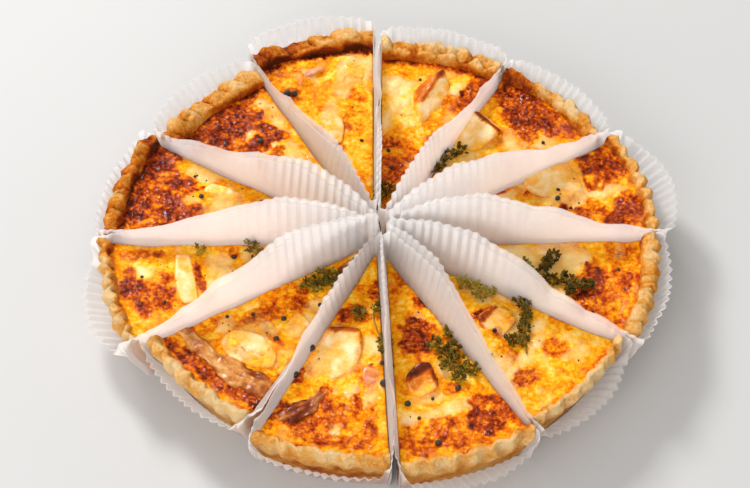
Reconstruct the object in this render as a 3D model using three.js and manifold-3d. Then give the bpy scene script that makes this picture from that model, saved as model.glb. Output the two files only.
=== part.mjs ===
// A savoury quiche baked in a 24 cm tart tin, cut into twelve and set out again as the whole round.
// Each slice stands in its own pleated paper case, whose tall sides rise between the slices.
// Millimetres, +Z up. The cases stand on Z = 0 and the origin is under the middle of the whole.
import * as THREE from "three";
import { mergeVertices } from "three/addons/utils/BufferGeometryUtils.js";
import Module from "manifold-3d";

const wasm = await Module();
wasm.setup();

// ---- Driving dimensions ----
const SLICE_COUNT = 12;
const HALF_ANGLE = Math.PI / SLICE_COUNT; // half of one slice's angle
const RIM_RADIUS = 117; // from a slice's tip to the outside of its crust, at the rim
const BASE_RADIUS = 107; // the same at the bottom, because a tart tin's wall leans out
const CRUST_HEIGHT = 30;
const CRUST_FLOOR = 3.5; // pastry under the filling
const RIM_WIDTH = 8; // pastry at the rim, outside to inside
const WALL_WIDTH = 6; // pastry at the foot of the wall
const RIM_ROUNDING = 4; // height of the rounded edge of the rim
const CRIMPS = 6; // pinches along one slice's rim
const CRIMP_DEPTH = 1;
const FILLING_LEVEL = 25.5; // top of the filling above the underside of the crust
const FILLING_SWELL = 0.9; // how far the baked top rises and falls
const PEPPERCORN_RADIUS = 1.75;
const GAP = 0.3; // kept between solids that touch in the real thing
const PAPER = 0.4; // thickness of a case's wall as modelled
const CASE_PLEATS = 10; // pleats along the outside of one case
const STAND = PAPER + GAP; // height of a slice's underside, on the floor of its case

const BAKED = { roughness: 0.6, metalness: 0 };
const MATERIALS = {
  crust: { color: "#d9a25c", ...BAKED },
  filling: { color: "#f0b64a", roughness: 0.4, metalness: 0 },
  paper: { color: "#f3ebe6", roughness: 0.7, metalness: 0 },
  potato: { color: "#f3d793", ...BAKED },
  bacon: { color: "#d58d74", roughness: 0.4, metalness: 0 },
  onion: { color: "#a5602c", roughness: 0.35, metalness: 0 },
  herb: { color: "#5b6a1f", ...BAKED },
};

// ---- How the twelve slices stand, clockwise from the one left of the back ----
// bearing: clockwise from +Y, the way the slice has slid out of the round, and slid: how far.
// turn: how far it has turned about its own tip, clockwise.
// skirtTop: height of the case's outer edge, and flare: how far that edge leans off the crust.
const SLICES = [
  { bearing: 344.2, slid: 11, turn: 0.5, skirtTop: 34, flare: 6 },
  { bearing: 14.2, slid: 5.5, turn: 0.4, skirtTop: 33, flare: 5 },
  { bearing: 44.5, slid: 4.8, turn: 0.1, skirtTop: 32, flare: 5 },
  { bearing: 73.8, slid: 10.2, turn: 0.3, skirtTop: 26, flare: 11 },
  { bearing: 102.5, slid: 9.6, turn: 0.5, skirtTop: 28, flare: 3 },
  { bearing: 132, slid: 5.8, turn: 0.4, skirtTop: 20, flare: 8 },
  { bearing: 161.3, slid: 10.2, turn: 0.4, skirtTop: 18, flare: 8 },
  { bearing: 190.5, slid: 7.3, turn: 1.2, skirtTop: 24, flare: 4 },
  { bearing: 224.5, slid: 0.5, turn: -0.1, skirtTop: 24, flare: 4 },
  { bearing: 255.4, slid: 9.3, turn: -0.8, skirtTop: 18, flare: 11 },
  { bearing: 282.8, slid: 7.4, turn: 2.1, skirtTop: 27, flare: 3 },
  { bearing: 315.3, slid: 1.9, turn: -0.4, skirtTop: 32, flare: 7 },
];

// The paper between each slice and the next one clockwise.
// rise: its greatest height above the filling, lean: how far its top leans, clockwise positive.
const WALLS = [
  { rise: 25, lean: 1 },
  { rise: 24, lean: -1 },
  { rise: 29, lean: -2 },
  { rise: 30, lean: -3 },
  { rise: 29, lean: -3 },
  { rise: 28, lean: -4 },
  { rise: 24, lean: 1 },
  { rise: 21, lean: 1 },
  { rise: 29, lean: 3 },
  { rise: 28, lean: 3 },
  { rise: 30, lean: 4 },
  { rise: 23, lean: 2 },
];

// Whole peppercorns on each slice: [distance out from the tip along the middle, distance clockwise].
const PEPPERCORNS = [
  [[88, -19], [87, -14.5], [53, -9], [50, 8]],
  [[49, -10], [39, -6], [97, -7]],
  [[66, 6], [92, 12], [48, 3]],
  [[80, 4], [86, -6], [93, 13]],
  [[92, 17], [52, 5], [99, -9]],
  [[68, 10], [74, 14], [100, 5]],
  [[79, -10], [80, 16], [89, 13], [103, 8], [80, 2]],
  [[79, 16], [52, -10], [58, -13], [80, -16]],
  [[66, 4], [88, -17], [105, 9], [68, 12], [77, 18], [44, -7]],
  [[55, 9], [92, -9], [99, 7]],
  [[85, 15], [62, -3], [81, -3]],
  [[80, 1], [91, -15], [97, 8]],
];

// Larger toppings. out and side place the middle of a piece as for the peppercorns, across and
// along are its size, turn is clockwise in degrees, rise is how far it stands out of the filling,
// and crest pushes its highest point out to one side, as on a wedge that lies on its flat face.
const LUMPS = [
  { slice: 1, name: "potato_01a", out: 95, side: 13, across: 19, along: 15, turn: 30, rise: 1.6 },
  { slice: 1, name: "potato_01b", out: 62, side: 1, across: 13, along: 25, turn: -8, rise: 1.8 },
  { slice: 1, name: "bacon_01", out: 98, side: -8, across: 7, along: 22, turn: 55, rise: 1.6 },
  { slice: 2, name: "potato_02a", out: 80, side: -11, across: 16, along: 26, turn: 6, rise: 1.6 },
  { slice: 2, name: "potato_02b", out: 86, side: 6, across: 15, along: 24, turn: 32, rise: 6, crest: -3 },
  { slice: 3, name: "potato_03", out: 84, side: -11, across: 15, along: 21, turn: -10, rise: 4, crest: -3 },
  { slice: 4, name: "potato_04", out: 76, side: -9, across: 19, along: 25, turn: -12, rise: 2 },
  { slice: 6, name: "potato_06", out: 60, side: 1, across: 15, along: 16, turn: 20, rise: 3.5, crest: 2 },
  { slice: 7, name: "potato_07", out: 65, side: 5, across: 17, along: 17, turn: 10, rise: 3.5, crest: -2 },
  { slice: 8, name: "potato_08", out: 62, side: 4, across: 20, along: 23, turn: 10, rise: 2.2 },
  { slice: 8, name: "bacon_08", out: 70, side: -11, across: 7, along: 15, turn: 20, rise: 2.2 },
  { slice: 9, name: "potato_09a", out: 82, side: 1, across: 26, along: 20, turn: 15, rise: 2.2 },
  { slice: 9, name: "potato_09b", out: 57, side: -7, across: 12, along: 16, turn: -14, rise: 1.8 },
  { slice: 9, name: "onion_09", out: 97.5, side: -1, across: 36, along: 6, turn: 4, rise: 1.5 },
  { slice: 10, name: "potato_10", out: 79, side: 0, across: 26, along: 13, turn: -6, rise: 1.7 },
  { slice: 11, name: "potato_11", out: 71, side: 6, across: 16, along: 17, turn: -20, rise: 1.7 },
  { slice: 12, name: "potato_12", out: 62, side: 7, across: 12, along: 18, turn: 12, rise: 2.4, crest: 2 },
];
const LUMP_SIDES = 8;
const LUMP_SINK = 3; // how deep a topping sits in the filling

// Herbs, each a stem through its points with a lobed leaf of the given radius at each leaf point.
const HERBS = [
  { slice: 2, name: "herb_02", stem: [[20, -2], [27, -1]], leaves: [[26, -1, 4.2]] },
  { slice: 3, name: "herb_03", stem: [[52, -7], [59, -8]], leaves: [[61, -8, 5]] },
  {
    slice: 5,
    name: "herb_05",
    stem: [[66, -12], [67, -3], [76, 2], [86, 3]],
    leaves: [[67, -10, 4.2], [68, -3, 3.6], [78, 3, 4], [87, 3, 3.6]],
  },
  {
    slice: 6,
    name: "herb_06",
    stem: [[63, -12], [73, -10], [80, -2], [88, 0]],
    leaves: [[66, -11.5, 3.6], [75, -8, 4.4], [87, 0, 4]],
  },
  {
    slice: 7,
    name: "herb_07",
    stem: [[56, -9], [66, -12], [72, -14]],
    leaves: [[57, -8.5, 4], [64, -11, 4.6], [72, -14, 4.2]],
  },
  {
    slice: 8,
    name: "herb_08",
    stem: [[28, -3], [36, -3], [44, -7]],
    leaves: [[29, -2, 3.8], [37, -3.5, 4], [45, -7, 3.8]],
  },
  { slice: 9, name: "herb_09", stem: [[27, 2], [38, 1]], leaves: [[30, 1.5, 4.2], [38, 1, 4.6]] },
];
const LEAF_POINTS = 8;
const LEAF_THICKNESS = 0.7;
const LEAF_LIFT = 0.9; // from the filling to the underside of a herb
const STEM_WIDTH = 1.1;

// ---- Making closed solids ----

// An indexed geometry from corner points and triangles, with equal corners joined.
function closedGeometry(points, triangles) {
  const loose = new THREE.BufferGeometry();
  loose.setAttribute("position", new THREE.Float32BufferAttribute(points.flat(), 3));
  loose.setIndex(triangles.flat());
  const merged = mergeVertices(loose, 1e-3);
  const kept = [];
  for (let i = 0; i < merged.index.count; i += 3) {
    const [a, b, c] = merged.index.array.slice(i, i + 3);
    if (a !== b && b !== c && c !== a) kept.push(a, b, c);
  }
  merged.setIndex(kept);
  return merged;
}

function toSolid(geometry) {
  const plain = geometry.clone();
  plain.deleteAttribute("normal");
  plain.deleteAttribute("uv");
  const merged = mergeVertices(plain, 1e-3);
  return new wasm.Manifold(
    new wasm.Mesh({
      numProp: 3,
      vertProperties: new Float32Array(merged.attributes.position.array),
      triVerts: new Uint32Array(merged.index.array),
    }),
  );
}

function toGeometry(solid) {
  const mesh = solid.getMesh();
  const geometry = new THREE.BufferGeometry();
  geometry.setAttribute("position", new THREE.BufferAttribute(mesh.vertProperties, 3));
  geometry.setIndex(new THREE.BufferAttribute(mesh.triVerts, 1));
  return geometry;
}

// Rings of points joined in order, with a fan over the first ring and another over the last.
function closedRings(rings, firstMiddle, lastMiddle) {
  const count = rings[0].length;
  const points = [...rings.flat(), firstMiddle, lastMiddle];
  const triangles = [];
  for (let ring = 0; ring + 1 < rings.length; ring += 1) {
    for (let i = 0; i < count; i += 1) {
      const next = (i + 1) % count;
      const [a, b] = [ring * count + i, ring * count + next];
      triangles.push([a, b, b + count], [a, b + count, a + count]);
    }
  }
  const last = (rings.length - 1) * count;
  for (let i = 0; i < count; i += 1) {
    const next = (i + 1) % count;
    triangles.push([points.length - 2, next, i]);
    triangles.push([points.length - 1, last + i, last + next]);
  }
  return closedGeometry(points, triangles);
}

// A wedge swept about the tip: profileAt(angle) gives [radius, height] points, the same number
// at each angle, which start and end on the tip's own line and run outside first.
function sweptWedge(segments, profileAt) {
  const profiles = [];
  const points = [];
  for (let j = 0; j <= segments; j += 1) {
    const angle = HALF_ANGLE * (1 - (2 * j) / segments);
    const profile = profileAt(angle);
    profiles.push(profile);
    for (const [r, z] of profile) points.push([r * Math.sin(angle), r * Math.cos(angle), z]);
  }
  const count = profiles[0].length;
  const triangles = [];
  for (let j = 0; j < segments; j += 1) {
    for (let p = 0; p < count; p += 1) {
      const q = (p + 1) % count;
      const [a, b] = [j * count, (j + 1) * count];
      triangles.push([a + p, b + p, b + q], [a + p, b + q, a + q]);
    }
  }
  for (const [station, flip] of [[0, false], [segments, true]]) {
    const outline = profiles[station].map(([r, z]) => new THREE.Vector2(r, z));
    for (const [a, b, c] of THREE.ShapeUtils.triangulateShape(outline, [])) {
      const face = flip ? [c, b, a] : [a, b, c];
      triangles.push(face.map((i) => station * count + i));
    }
  }
  return closedGeometry(points, triangles);
}

// ---- The pieces of one slice, each standing on Z = 0 with its tip at the origin, out along +Y ----

// Unevenness of home-made pastry: a value between -1 and 1 that is different on every slice.
const uneven = (slice, t) => 0.6 * Math.sin(2.3 * slice + 3.1 * t) + 0.4 * Math.sin(5.9 * slice + 7.7 * t);

function crustGeometry(slice) {
  const shoulder = CRUST_HEIGHT - RIM_ROUNDING;
  return sweptWedge(CRIMPS * 3, (angle) => {
    const along = (angle / HALF_ANGLE) * CRIMPS;
    const crimp = Math.cos(Math.PI * along + slice);
    const outside = RIM_RADIUS + CRIMP_DEPTH * crimp;
    const top = CRUST_HEIGHT + 0.7 * crimp + 0.8 * uneven(slice, along / 2);
    return [
      [0, 0],
      [BASE_RADIUS, 0],
      [outside, shoulder],
      [outside - 1.5, top],
      [outside - RIM_WIDTH + 2.5, top - 0.6],
      [RIM_RADIUS - RIM_WIDTH, FILLING_LEVEL - 1],
      [BASE_RADIUS - WALL_WIDTH, CRUST_FLOOR],
      [0, CRUST_FLOOR],
    ];
  });
}

// Height of the filling's baked top, dipping slightly towards the tip.
function fillingTop(slice, x, y) {
  const wave = Math.sin(0.16 * x + slice) * Math.cos(0.13 * y + 1.7 * slice) + 0.4 * Math.sin(0.31 * y - 0.2 * x);
  return FILLING_LEVEL - 0.4 + FILLING_SWELL * 0.7 * wave;
}

const FILLING_RINGS = [0.9, 0.7, 0.5, 0.28];

function fillingGeometry(slice) {
  const outer = RIM_RADIUS - RIM_WIDTH - GAP;
  return sweptWedge(6, (angle) => {
    const at = (r) => [r, fillingTop(slice, r * Math.sin(angle), r * Math.cos(angle))];
    return [
      [0, CRUST_FLOOR + GAP],
      [BASE_RADIUS - WALL_WIDTH - GAP, CRUST_FLOOR + GAP],
      [outer, FILLING_LEVEL - 1],
      ...FILLING_RINGS.map((share) => at(outer * share)),
      at(0),
    ];
  });
}

// A potato piece, bacon strip or onion strip, half sunk. spare makes the pocket that it sits in.
function lumpGeometry(lump, spare) {
  const seed = lump.out + lump.side;
  const turn = THREE.MathUtils.degToRad(lump.turn);
  const crest = lump.crest ?? 0;
  const base = STAND + fillingTop(lump.slice, lump.side, lump.out);
  const place = (x, y, z) => [
    lump.side + x * Math.cos(turn) + y * Math.sin(turn),
    lump.out - x * Math.sin(turn) + y * Math.cos(turn),
    base + z,
  ];
  const ring = (share, shift, z) => {
    const points = [];
    for (let i = 0; i < LUMP_SIDES; i += 1) {
      const angle = (2 * Math.PI * i) / LUMP_SIDES;
      const bulge = share * (1 + 0.09 * Math.sin(3 * angle + seed));
      const x = (lump.across / 2) * bulge * Math.cos(angle) + spare * Math.cos(angle) + shift;
      const y = (lump.along / 2) * bulge * Math.sin(angle) + spare * Math.sin(angle);
      points.push(place(x, y, z));
    }
    return points;
  };
  return closedRings(
    [
      ring(0.75, 0, -LUMP_SINK - spare),
      ring(1, 0, -0.3),
      ring(0.8, crest * 0.6, lump.rise * 0.75 + spare),
    ],
    place(0, 0, -LUMP_SINK - spare),
    place(crest, 0, lump.rise + spare),
  );
}

// The filling of one slice with its peppercorns fused on and pockets for its larger toppings.
function fillingWithToppings(slice) {
  let solid = toSolid(fillingGeometry(slice).translate(0, 0, STAND));
  for (const [out, side] of PEPPERCORNS[slice - 1]) {
    const corn = new THREE.IcosahedronGeometry(PEPPERCORN_RADIUS, 0).rotateZ(out);
    corn.translate(side, out, STAND + fillingTop(slice, side, out) + PEPPERCORN_RADIUS * 0.3);
    solid = solid.add(toSolid(mergeVertices(corn)));
  }
  for (const lump of LUMPS.filter((one) => one.slice === slice)) {
    solid = solid.subtract(toSolid(lumpGeometry(lump, GAP)));
  }
  return toGeometry(solid);
}

// A lobed, slightly wavy leaf lying on the filling: both faces are the same fan of triangles.
function leafSolid(slice, [out, side, radius]) {
  const face = (lift) => {
    const points = [];
    for (let i = 0; i < LEAF_POINTS; i += 1) {
      const angle = (2 * Math.PI * i) / LEAF_POINTS;
      const reach = radius * (i % 2 ? 0.55 : 1);
      const wave = 0.3 * Math.sin(2 * angle + out);
      points.push([side + reach * Math.cos(angle), out + reach * Math.sin(angle), lift + wave]);
    }
    return points;
  };
  const low = restHeight(slice, [[out, side]], radius);
  return toSolid(
    closedRings(
      [face(low), face(low + LEAF_THICKNESS)],
      [side, out, low],
      [side, out, low + LEAF_THICKNESS],
    ),
  );
}

// Lowest height at which something within reach of these spots clears the filling.
function restHeight(slice, spots, reach) {
  let highest = 0;
  for (const [out, side] of spots) {
    for (let i = 0; i < 8; i += 1) {
      const angle = (Math.PI * i) / 4;
      const [x, y] = [side + reach * Math.cos(angle), out + reach * Math.sin(angle)];
      highest = Math.max(highest, fillingTop(slice, x, y));
    }
  }
  return STAND + highest + LEAF_LIFT;
}

function stemSolid(slice, from, to) {
  const length = Math.hypot(to[0] - from[0], to[1] - from[1]);
  const stem = new THREE.BoxGeometry(STEM_WIDTH, length + STEM_WIDTH, LEAF_THICKNESS);
  stem.rotateZ(-Math.atan2(to[1] - from[1], to[0] - from[0]));
  const height = restHeight(slice, [from, to], 2) + LEAF_THICKNESS / 2;
  stem.translate((from[1] + to[1]) / 2, (from[0] + to[0]) / 2, height);
  return toSolid(stem);
}

function herbGeometry(herb) {
  const { slice, stem, leaves } = herb;
  const parts = leaves.map((leaf) => leafSolid(slice, leaf));
  for (let i = 0; i + 1 < stem.length; i += 1) parts.push(stemSolid(slice, stem[i], stem[i + 1]));
  return toGeometry(parts.reduce((whole, part) => whole.add(part)));
}

// ---- The paper case of one slice ----

// Stations along a side wall, as shares of the way from tip to corner, with the share of the
// wall's greatest rise and of its lean that it has there.
const WALL_STATIONS = [
  { share: 0.013, rise: 0.7, lean: 0 },
  { share: 0.12, rise: 0.9, lean: 0.5 },
  { share: 0.3, rise: 1, lean: 1 },
  { share: 0.52, rise: 0.72, lean: 0.7 },
  { share: 0.76, rise: 0.4, lean: 0 },
];
const COLLAR = STAND + CRUST_HEIGHT + 2; // a side wall is upright up to here
const PLEAT_DEPTH = { foot: 0.4, bend: 1, edge: 2.2 };
const CORNER_SLACK = 1.2; // how far a case stands off the crust at its two outer corners
const TIP_SLACK = 0.6; // and off the slice's tip
const LEAST_SLANT = 0.7; // keeps the fold at a case's tip from growing thick

// Radius that clears the crust at a height.
function clearRadius(height) {
  const share = Math.min(1, Math.max(0, height - STAND) / (CRUST_HEIGHT - RIM_ROUNDING));
  return BASE_RADIUS + (RIM_RADIUS + CRIMP_DEPTH - BASE_RADIUS) * share + GAP + 0.2;
}

// The stations run anticlockwise round the case. Each holds its inner point at the foot, the bend and the edge.
function caseStations(slice) {
  const { skirtTop, flare } = SLICES[slice - 1];
  const before = WALLS[(slice + SLICE_COUNT - 2) % SLICE_COUNT];
  const after = WALLS[slice - 1];
  const offset = GAP + 0.05;
  const shoulder = CRUST_HEIGHT - 2;
  const bendHeight = skirtTop > CRUST_HEIGHT ? shoulder : skirtTop / 2; // the skirt follows the crust up to here
  const radii = { foot: clearRadius(0), bend: clearRadius(bendHeight), edge: clearRadius(CRUST_HEIGHT) };

  const sideWall = (sign, wall) => {
    const along = [sign * Math.sin(HALF_ANGLE), Math.cos(HALF_ANGLE)];
    const normal = [sign * Math.cos(HALF_ANGLE), -Math.sin(HALF_ANGLE)];
    const at = (distance, out, z) => [
      along[0] * distance + normal[0] * out,
      along[1] * distance + normal[1] * out,
      z,
    ];
    const stations = WALL_STATIONS.map(({ share, rise, lean }) => [
      at(share * radii.foot, offset, PAPER),
      at(share * radii.edge, offset, COLLAR),
      at(share * radii.edge, offset + sign * lean * wall.lean, STAND + FILLING_LEVEL + rise * wall.rise),
    ]);
    stations.push([
      at(radii.foot, offset, PAPER),
      at(radii.edge + CORNER_SLACK, offset, shoulder),
      at(radii.edge + CORNER_SLACK, offset, Math.max(skirtTop, CRUST_HEIGHT + 1)),
    ]);
    return stations;
  };

  const skirt = [];
  const steps = CASE_PLEATS * 2;
  for (let j = 1; j < steps; j += 1) {
    const angle = HALF_ANGLE * (1 - (2 * j) / steps);
    const pleat = j % 2;
    const away = flare * (0.35 + 0.65 * Math.sin((Math.PI * j) / steps));
    const at = (radius, z) => [radius * Math.sin(angle), radius * Math.cos(angle), z];
    skirt.push([
      at(radii.foot + pleat * PLEAT_DEPTH.foot, PAPER),
      at(radii.bend + pleat * PLEAT_DEPTH.bend, bendHeight),
      at(clearRadius(skirtTop) + away + pleat * PLEAT_DEPTH.edge, skirtTop + 0.6 * uneven(slice, j)),
    ]);
  }

  const tip = [
    [0, -TIP_SLACK, PAPER],
    [0, -TIP_SLACK, COLLAR],
    [0, -TIP_SLACK - 0.2, STAND + FILLING_LEVEL + 0.6 * Math.min(before.rise, after.rise)],
  ];
  return [tip, ...sideWall(1, after), ...skirt, ...sideWall(-1, before).reverse()];
}

// The triangles of the upright sheet, foot to bend to edge, as corner numbers: level * count + station.
function sheetTriangles(count) {
  const triangles = [];
  for (let level = 0; level < 2; level += 1) {
    for (let i = 0; i < count; i += 1) {
      const [a, b] = [level * count + i, level * count + ((i + 1) % count)];
      triangles.push([a, b, b + count], [a, b + count, a + count]);
    }
  }
  return triangles;
}

// Each point moved out by the paper's thickness, square to the faces that meet there.
function thickened(points, triangles) {
  const faceNormals = triangles.map((face) => {
    const [a, b, c] = face.map((i) => new THREE.Vector3(...points[i]));
    return b.sub(a).cross(c.sub(a)).normalize();
  });
  return points.map((point, i) => {
    const around = faceNormals.filter((normal, f) => triangles[f].includes(i));
    const way = around.reduce((sum, normal) => sum.add(normal), new THREE.Vector3()).normalize();
    const slant = Math.max(LEAST_SLANT, Math.min(...around.map((normal) => normal.dot(way))));
    return new THREE.Vector3(...point).addScaledVector(way, PAPER / slant).toArray();
  });
}

function caseGeometry(slice) {
  const stations = caseStations(slice);
  const count = stations.length;
  const inner = [0, 1, 2].flatMap((level) => stations.map((station) => station[level]));
  const triangles = sheetTriangles(count);
  const outer = thickened(inner, triangles).map(([x, y, z], i) => [x, y, i < count ? 0 : z]);
  const middle = RIM_RADIUS * 0.6;
  const points = [...outer, ...inner, [0, middle, 0], [0, middle, PAPER]];
  const within = outer.length; // number of the first inner point
  const faces = [...triangles, ...triangles.map(([a, b, c]) => [within + a, within + c, within + b])];
  for (let i = 0; i < count; i += 1) {
    const next = (i + 1) % count;
    const [a, b] = [2 * count + i, 2 * count + next]; // the edge
    faces.push([a, b, within + b], [a, within + b, within + a]);
    faces.push([points.length - 2, next, i], [points.length - 1, within + i, within + next]);
  }
  return closedGeometry(points, faces);
}

// ---- Putting the round together ----

function named(name, geometry) {
  const kind = name.split("_")[0];
  const mesh = new THREE.Mesh(geometry, new THREE.MeshStandardMaterial(MATERIALS[kind]));
  mesh.name = name;
  return mesh;
}

function sliceGroup(slice) {
  const { bearing, slid, turn } = SLICES[slice - 1];
  const label = String(slice).padStart(2, "0");
  const group = new THREE.Group();
  group.add(named(`crust_${label}`, crustGeometry(slice).translate(0, 0, STAND)));
  group.add(named(`filling_${label}`, fillingWithToppings(slice)));
  group.add(named(`paper_${label}`, caseGeometry(slice)));
  for (const lump of LUMPS.filter((one) => one.slice === slice)) {
    group.add(named(lump.name, lumpGeometry(lump, 0)));
  }
  for (const herb of HERBS.filter((one) => one.slice === slice)) {
    group.add(named(herb.name, herbGeometry(herb)));
  }
  const towards = THREE.MathUtils.degToRad(bearing);
  group.position.set(slid * Math.sin(towards), slid * Math.cos(towards), 0);
  group.rotation.z = -THREE.MathUtils.degToRad(bearing + turn);
  return group;
}

const round = new THREE.Group();
for (let slice = 1; slice <= SLICE_COUNT; slice += 1) round.add(sliceGroup(slice));
const middle = new THREE.Box3().setFromObject(round, true).getCenter(new THREE.Vector3());
round.position.set(-middle.x, -middle.y, 0);

const quiche = new THREE.Group();
quiche.add(round);

export default quiche;
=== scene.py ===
"""A savoury quiche cut into twelve slices, each in its own pleated paper case, set out as the whole round."""
import itertools
import math

import bmesh
import bpy
import numpy as np
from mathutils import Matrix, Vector


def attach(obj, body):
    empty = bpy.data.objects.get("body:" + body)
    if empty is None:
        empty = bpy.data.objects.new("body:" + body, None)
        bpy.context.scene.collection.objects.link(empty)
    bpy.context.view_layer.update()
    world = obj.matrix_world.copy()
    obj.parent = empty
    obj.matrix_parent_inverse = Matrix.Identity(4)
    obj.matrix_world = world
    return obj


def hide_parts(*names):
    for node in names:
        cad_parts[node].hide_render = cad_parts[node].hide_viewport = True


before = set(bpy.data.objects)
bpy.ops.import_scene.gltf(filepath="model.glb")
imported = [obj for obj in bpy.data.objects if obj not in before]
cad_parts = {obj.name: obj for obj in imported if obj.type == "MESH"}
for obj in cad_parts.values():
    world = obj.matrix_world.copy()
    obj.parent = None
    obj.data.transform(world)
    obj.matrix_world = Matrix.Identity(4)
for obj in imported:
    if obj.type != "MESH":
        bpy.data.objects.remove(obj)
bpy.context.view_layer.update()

# ---- The crusts -----------------------------------------------------------------------------
# Shortcrust pastry rolled 4 mm thick, pressed into a 24 cm fluted tin and folded over by hand at the
# rim. It bakes matt and golden, darker where custard browned on it; shade in its folds and cracks and
# highlights on its crests are painted into its colour. Cut in twelve and lifted into their cases, the
# slices stand a little apart, each with its own heading.
MM = 0.001
HALF_ANGLE = math.radians(15)  # of a slice
# Where each slice points, clockwise from the back.
HEADINGS = (344.7, 14.6, 44.6, 74.1, 103.0, 132.4, 161.7, 191.7, 224.4, 254.6, 284.9, 314.9)
RIM_RADIUS = 117.0
BASE_RADIUS = 107.0  # of the wall's foot
STAND = 0.7  # underside of a crust above the table
SHOULDER = 26.0  # where the wall ends and the rim begins
CRUST_HEIGHT = 30.0
CRUST_FLOOR = 3.5  # thickness under the custard
CRUST_FOOT_WIDTH = 6.0  # of the wall, at the floor
CUSTARD_RADIUS = 109.0
ARC_STEPS = 124  # of the mesh round a crust
PINCHES, FIRST_PINCH = 24, -60  # how many are drawn in a row, and where along the rim the row starts
SKEW_RADIUS = 112  # about which the pinches lie askew

# How each rim was finished: mean width of its pinches and how much they vary, rows of them, how
# askew they lie, how deep the creases are, how far the pinches rise, how far the rim weaves in and
# out, how lumpy the dough is, width of the rim, and how dark it is along the custard, all over and
# at its anticlockwise and clockwise ends.
RIM_COLUMNS = (
    "pitch", "vary", "rows", "skew", "depth", "lift", "wave", "uneven", "width", "ring", "tone", "bake",
)
RIMS = [
    dict(zip(RIM_COLUMNS, row))
    for row in (
        (12.0, 0.6, 1, 0.7, 2.6, 3.2, 0.0, 2.2, 8.6, 1.4, 0.07, (0.2, 0.0)),
        (9.5, 0.6, 2, 0.7, 2.4, 2.8, 0.3, 2.1, 9.0, 1.0, -0.1, (0.1, 0.1)),
        (10.5, 0.6, 1, 0.8, 1.7, 1.9, 0.6, 2.2, 6.4, 0.7, -0.14, (0.5, 0.0)),
        (9.0, 0.5, 1, 0.3, 1.7, 1.2, 0.7, 1.4, 5.2, 0.7, -0.08, (0.05, 0.1)),
        (8.4, 0.5, 1, 0.3, 1.6, 0.7, 0.6, 1.3, 7.4, 0.5, 0.02, (0.05, 0.05)),
        (8.5, 0.5, 1, 0.3, 1.0, 0.6, 0.7, 1.2, 4.2, 0.35, -0.06, (0.0, 0.05)),
        (9.0, 0.4, 1, 0.2, 1.0, 0.7, 1.1, 1.3, 4.2, 0.45, -0.06, (0.05, 0.05)),
        (8.5, 0.4, 1, 0.3, 1.0, 0.7, 0.9, 1.2, 4.8, 0.5, -0.04, (0.1, 0.1)),
        (8.0, 0.5, 1, 0.3, 1.6, 1.0, 0.8, 1.4, 5.0, 0.55, -0.14, (0.05, 0.05)),
        (8.5, 0.5, 1, 0.4, 1.6, 1.4, 1.2, 1.6, 4.4, 0.5, -0.08, (0.05, 0.1)),
        (9.5, 0.6, 1, 0.6, 1.6, 1.7, 0.9, 2.2, 6.8, 1.0, 0.22, (0.1, 0.15)),
        (10.5, 0.5, 1, 0.5, 2.8, 3.0, 0.3, 2.0, 9.4, 1.0, -0.04, (0.15, 0.0)),
    )
]


class Slice:
    """A slice's number and place. It is laid out in its own millimetres: side runs clockwise from its
    middle line, out from its tip to the crust, and up from the table."""

    def __init__(self, number, heading):
        self.number = number
        self.label = f"{number:02d}"
        turn = math.radians(heading)
        self.out = np.array([math.sin(turn), math.cos(turn)])
        self.side = np.array([math.cos(turn), -math.sin(turn)])
        corners = np.array([v.co[:2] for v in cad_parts["crust_" + self.label].data.vertices])
        self.tip = corners[np.argmin(corners @ self.out)]

    def place(self, points):
        """Points given as (side, out, up) in millimetres, in the row frame."""
        points = np.asarray(points, float)
        flat = self.tip + MM * (points[..., :1] * self.side + points[..., 1:2] * self.out)
        return np.concatenate([flat, MM * points[..., 2:]], axis=-1)


SLICES = [Slice(i + 1, heading) for i, heading in enumerate(HEADINGS)]


def rounded(points, spacing):
    """Points along a smooth curve through the given ones, about spacing apart."""
    points = np.asarray(points, float)
    before, after = 2 * points[0] - points[1], 2 * points[-1] - points[-2]
    padded = np.vstack([before, points, after])
    curve = []
    for a, b, c, d in zip(padded, padded[1:], padded[2:], padded[3:]):
        steps = max(1, round(float(np.linalg.norm(c - b)) / spacing))
        for t in np.arange(steps)[:, None] / steps:
            bend = (2 * a - 5 * b + 4 * c - d) * t**2 + (3 * b - a - 3 * c + d) * t**3
            curve.append(0.5 * (2 * b + (c - a) * t + bend))
    return np.vstack(curve + [points[-1:]])


def crust_profile(width):
    """Radius and height round the section of a crust, from the foot of its outside wall over the rim."""
    top = CRUST_HEIGHT + 0.1 * width  # a wide rim was folded over and stands a little higher
    inside = RIM_RADIUS - width
    visible = rounded(
        [
            (BASE_RADIUS, 0), (BASE_RADIUS + 3.3, 9), (BASE_RADIUS + 6.8, 18), (RIM_RADIUS - 0.2, SHOULDER),
            (RIM_RADIUS - 0.6, top - 1.4), (RIM_RADIUS - 0.32 * width, top),
            (inside + 0.25 * width, top - 0.7), (inside, top - 3), (inside - 0.5, SHOULDER - 2.5),
        ],
        0.5,
    )
    hidden = [(BASE_RADIUS - CRUST_FOOT_WIDTH, CRUST_FLOOR), (0.4, CRUST_FLOOR), (0.4, 0)]
    return np.vstack([visible, hidden]), len(visible)


def colour(hex_code):
    """A linear colour from an sRGB hex code."""
    parts = [int(hex_code[i:i + 2], 16) / 255 for i in (1, 3, 5)]
    return (*[p / 12.92 if p <= 0.04045 else ((p + 0.055) / 1.055) ** 2.4 for p in parts], 1.0)


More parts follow.
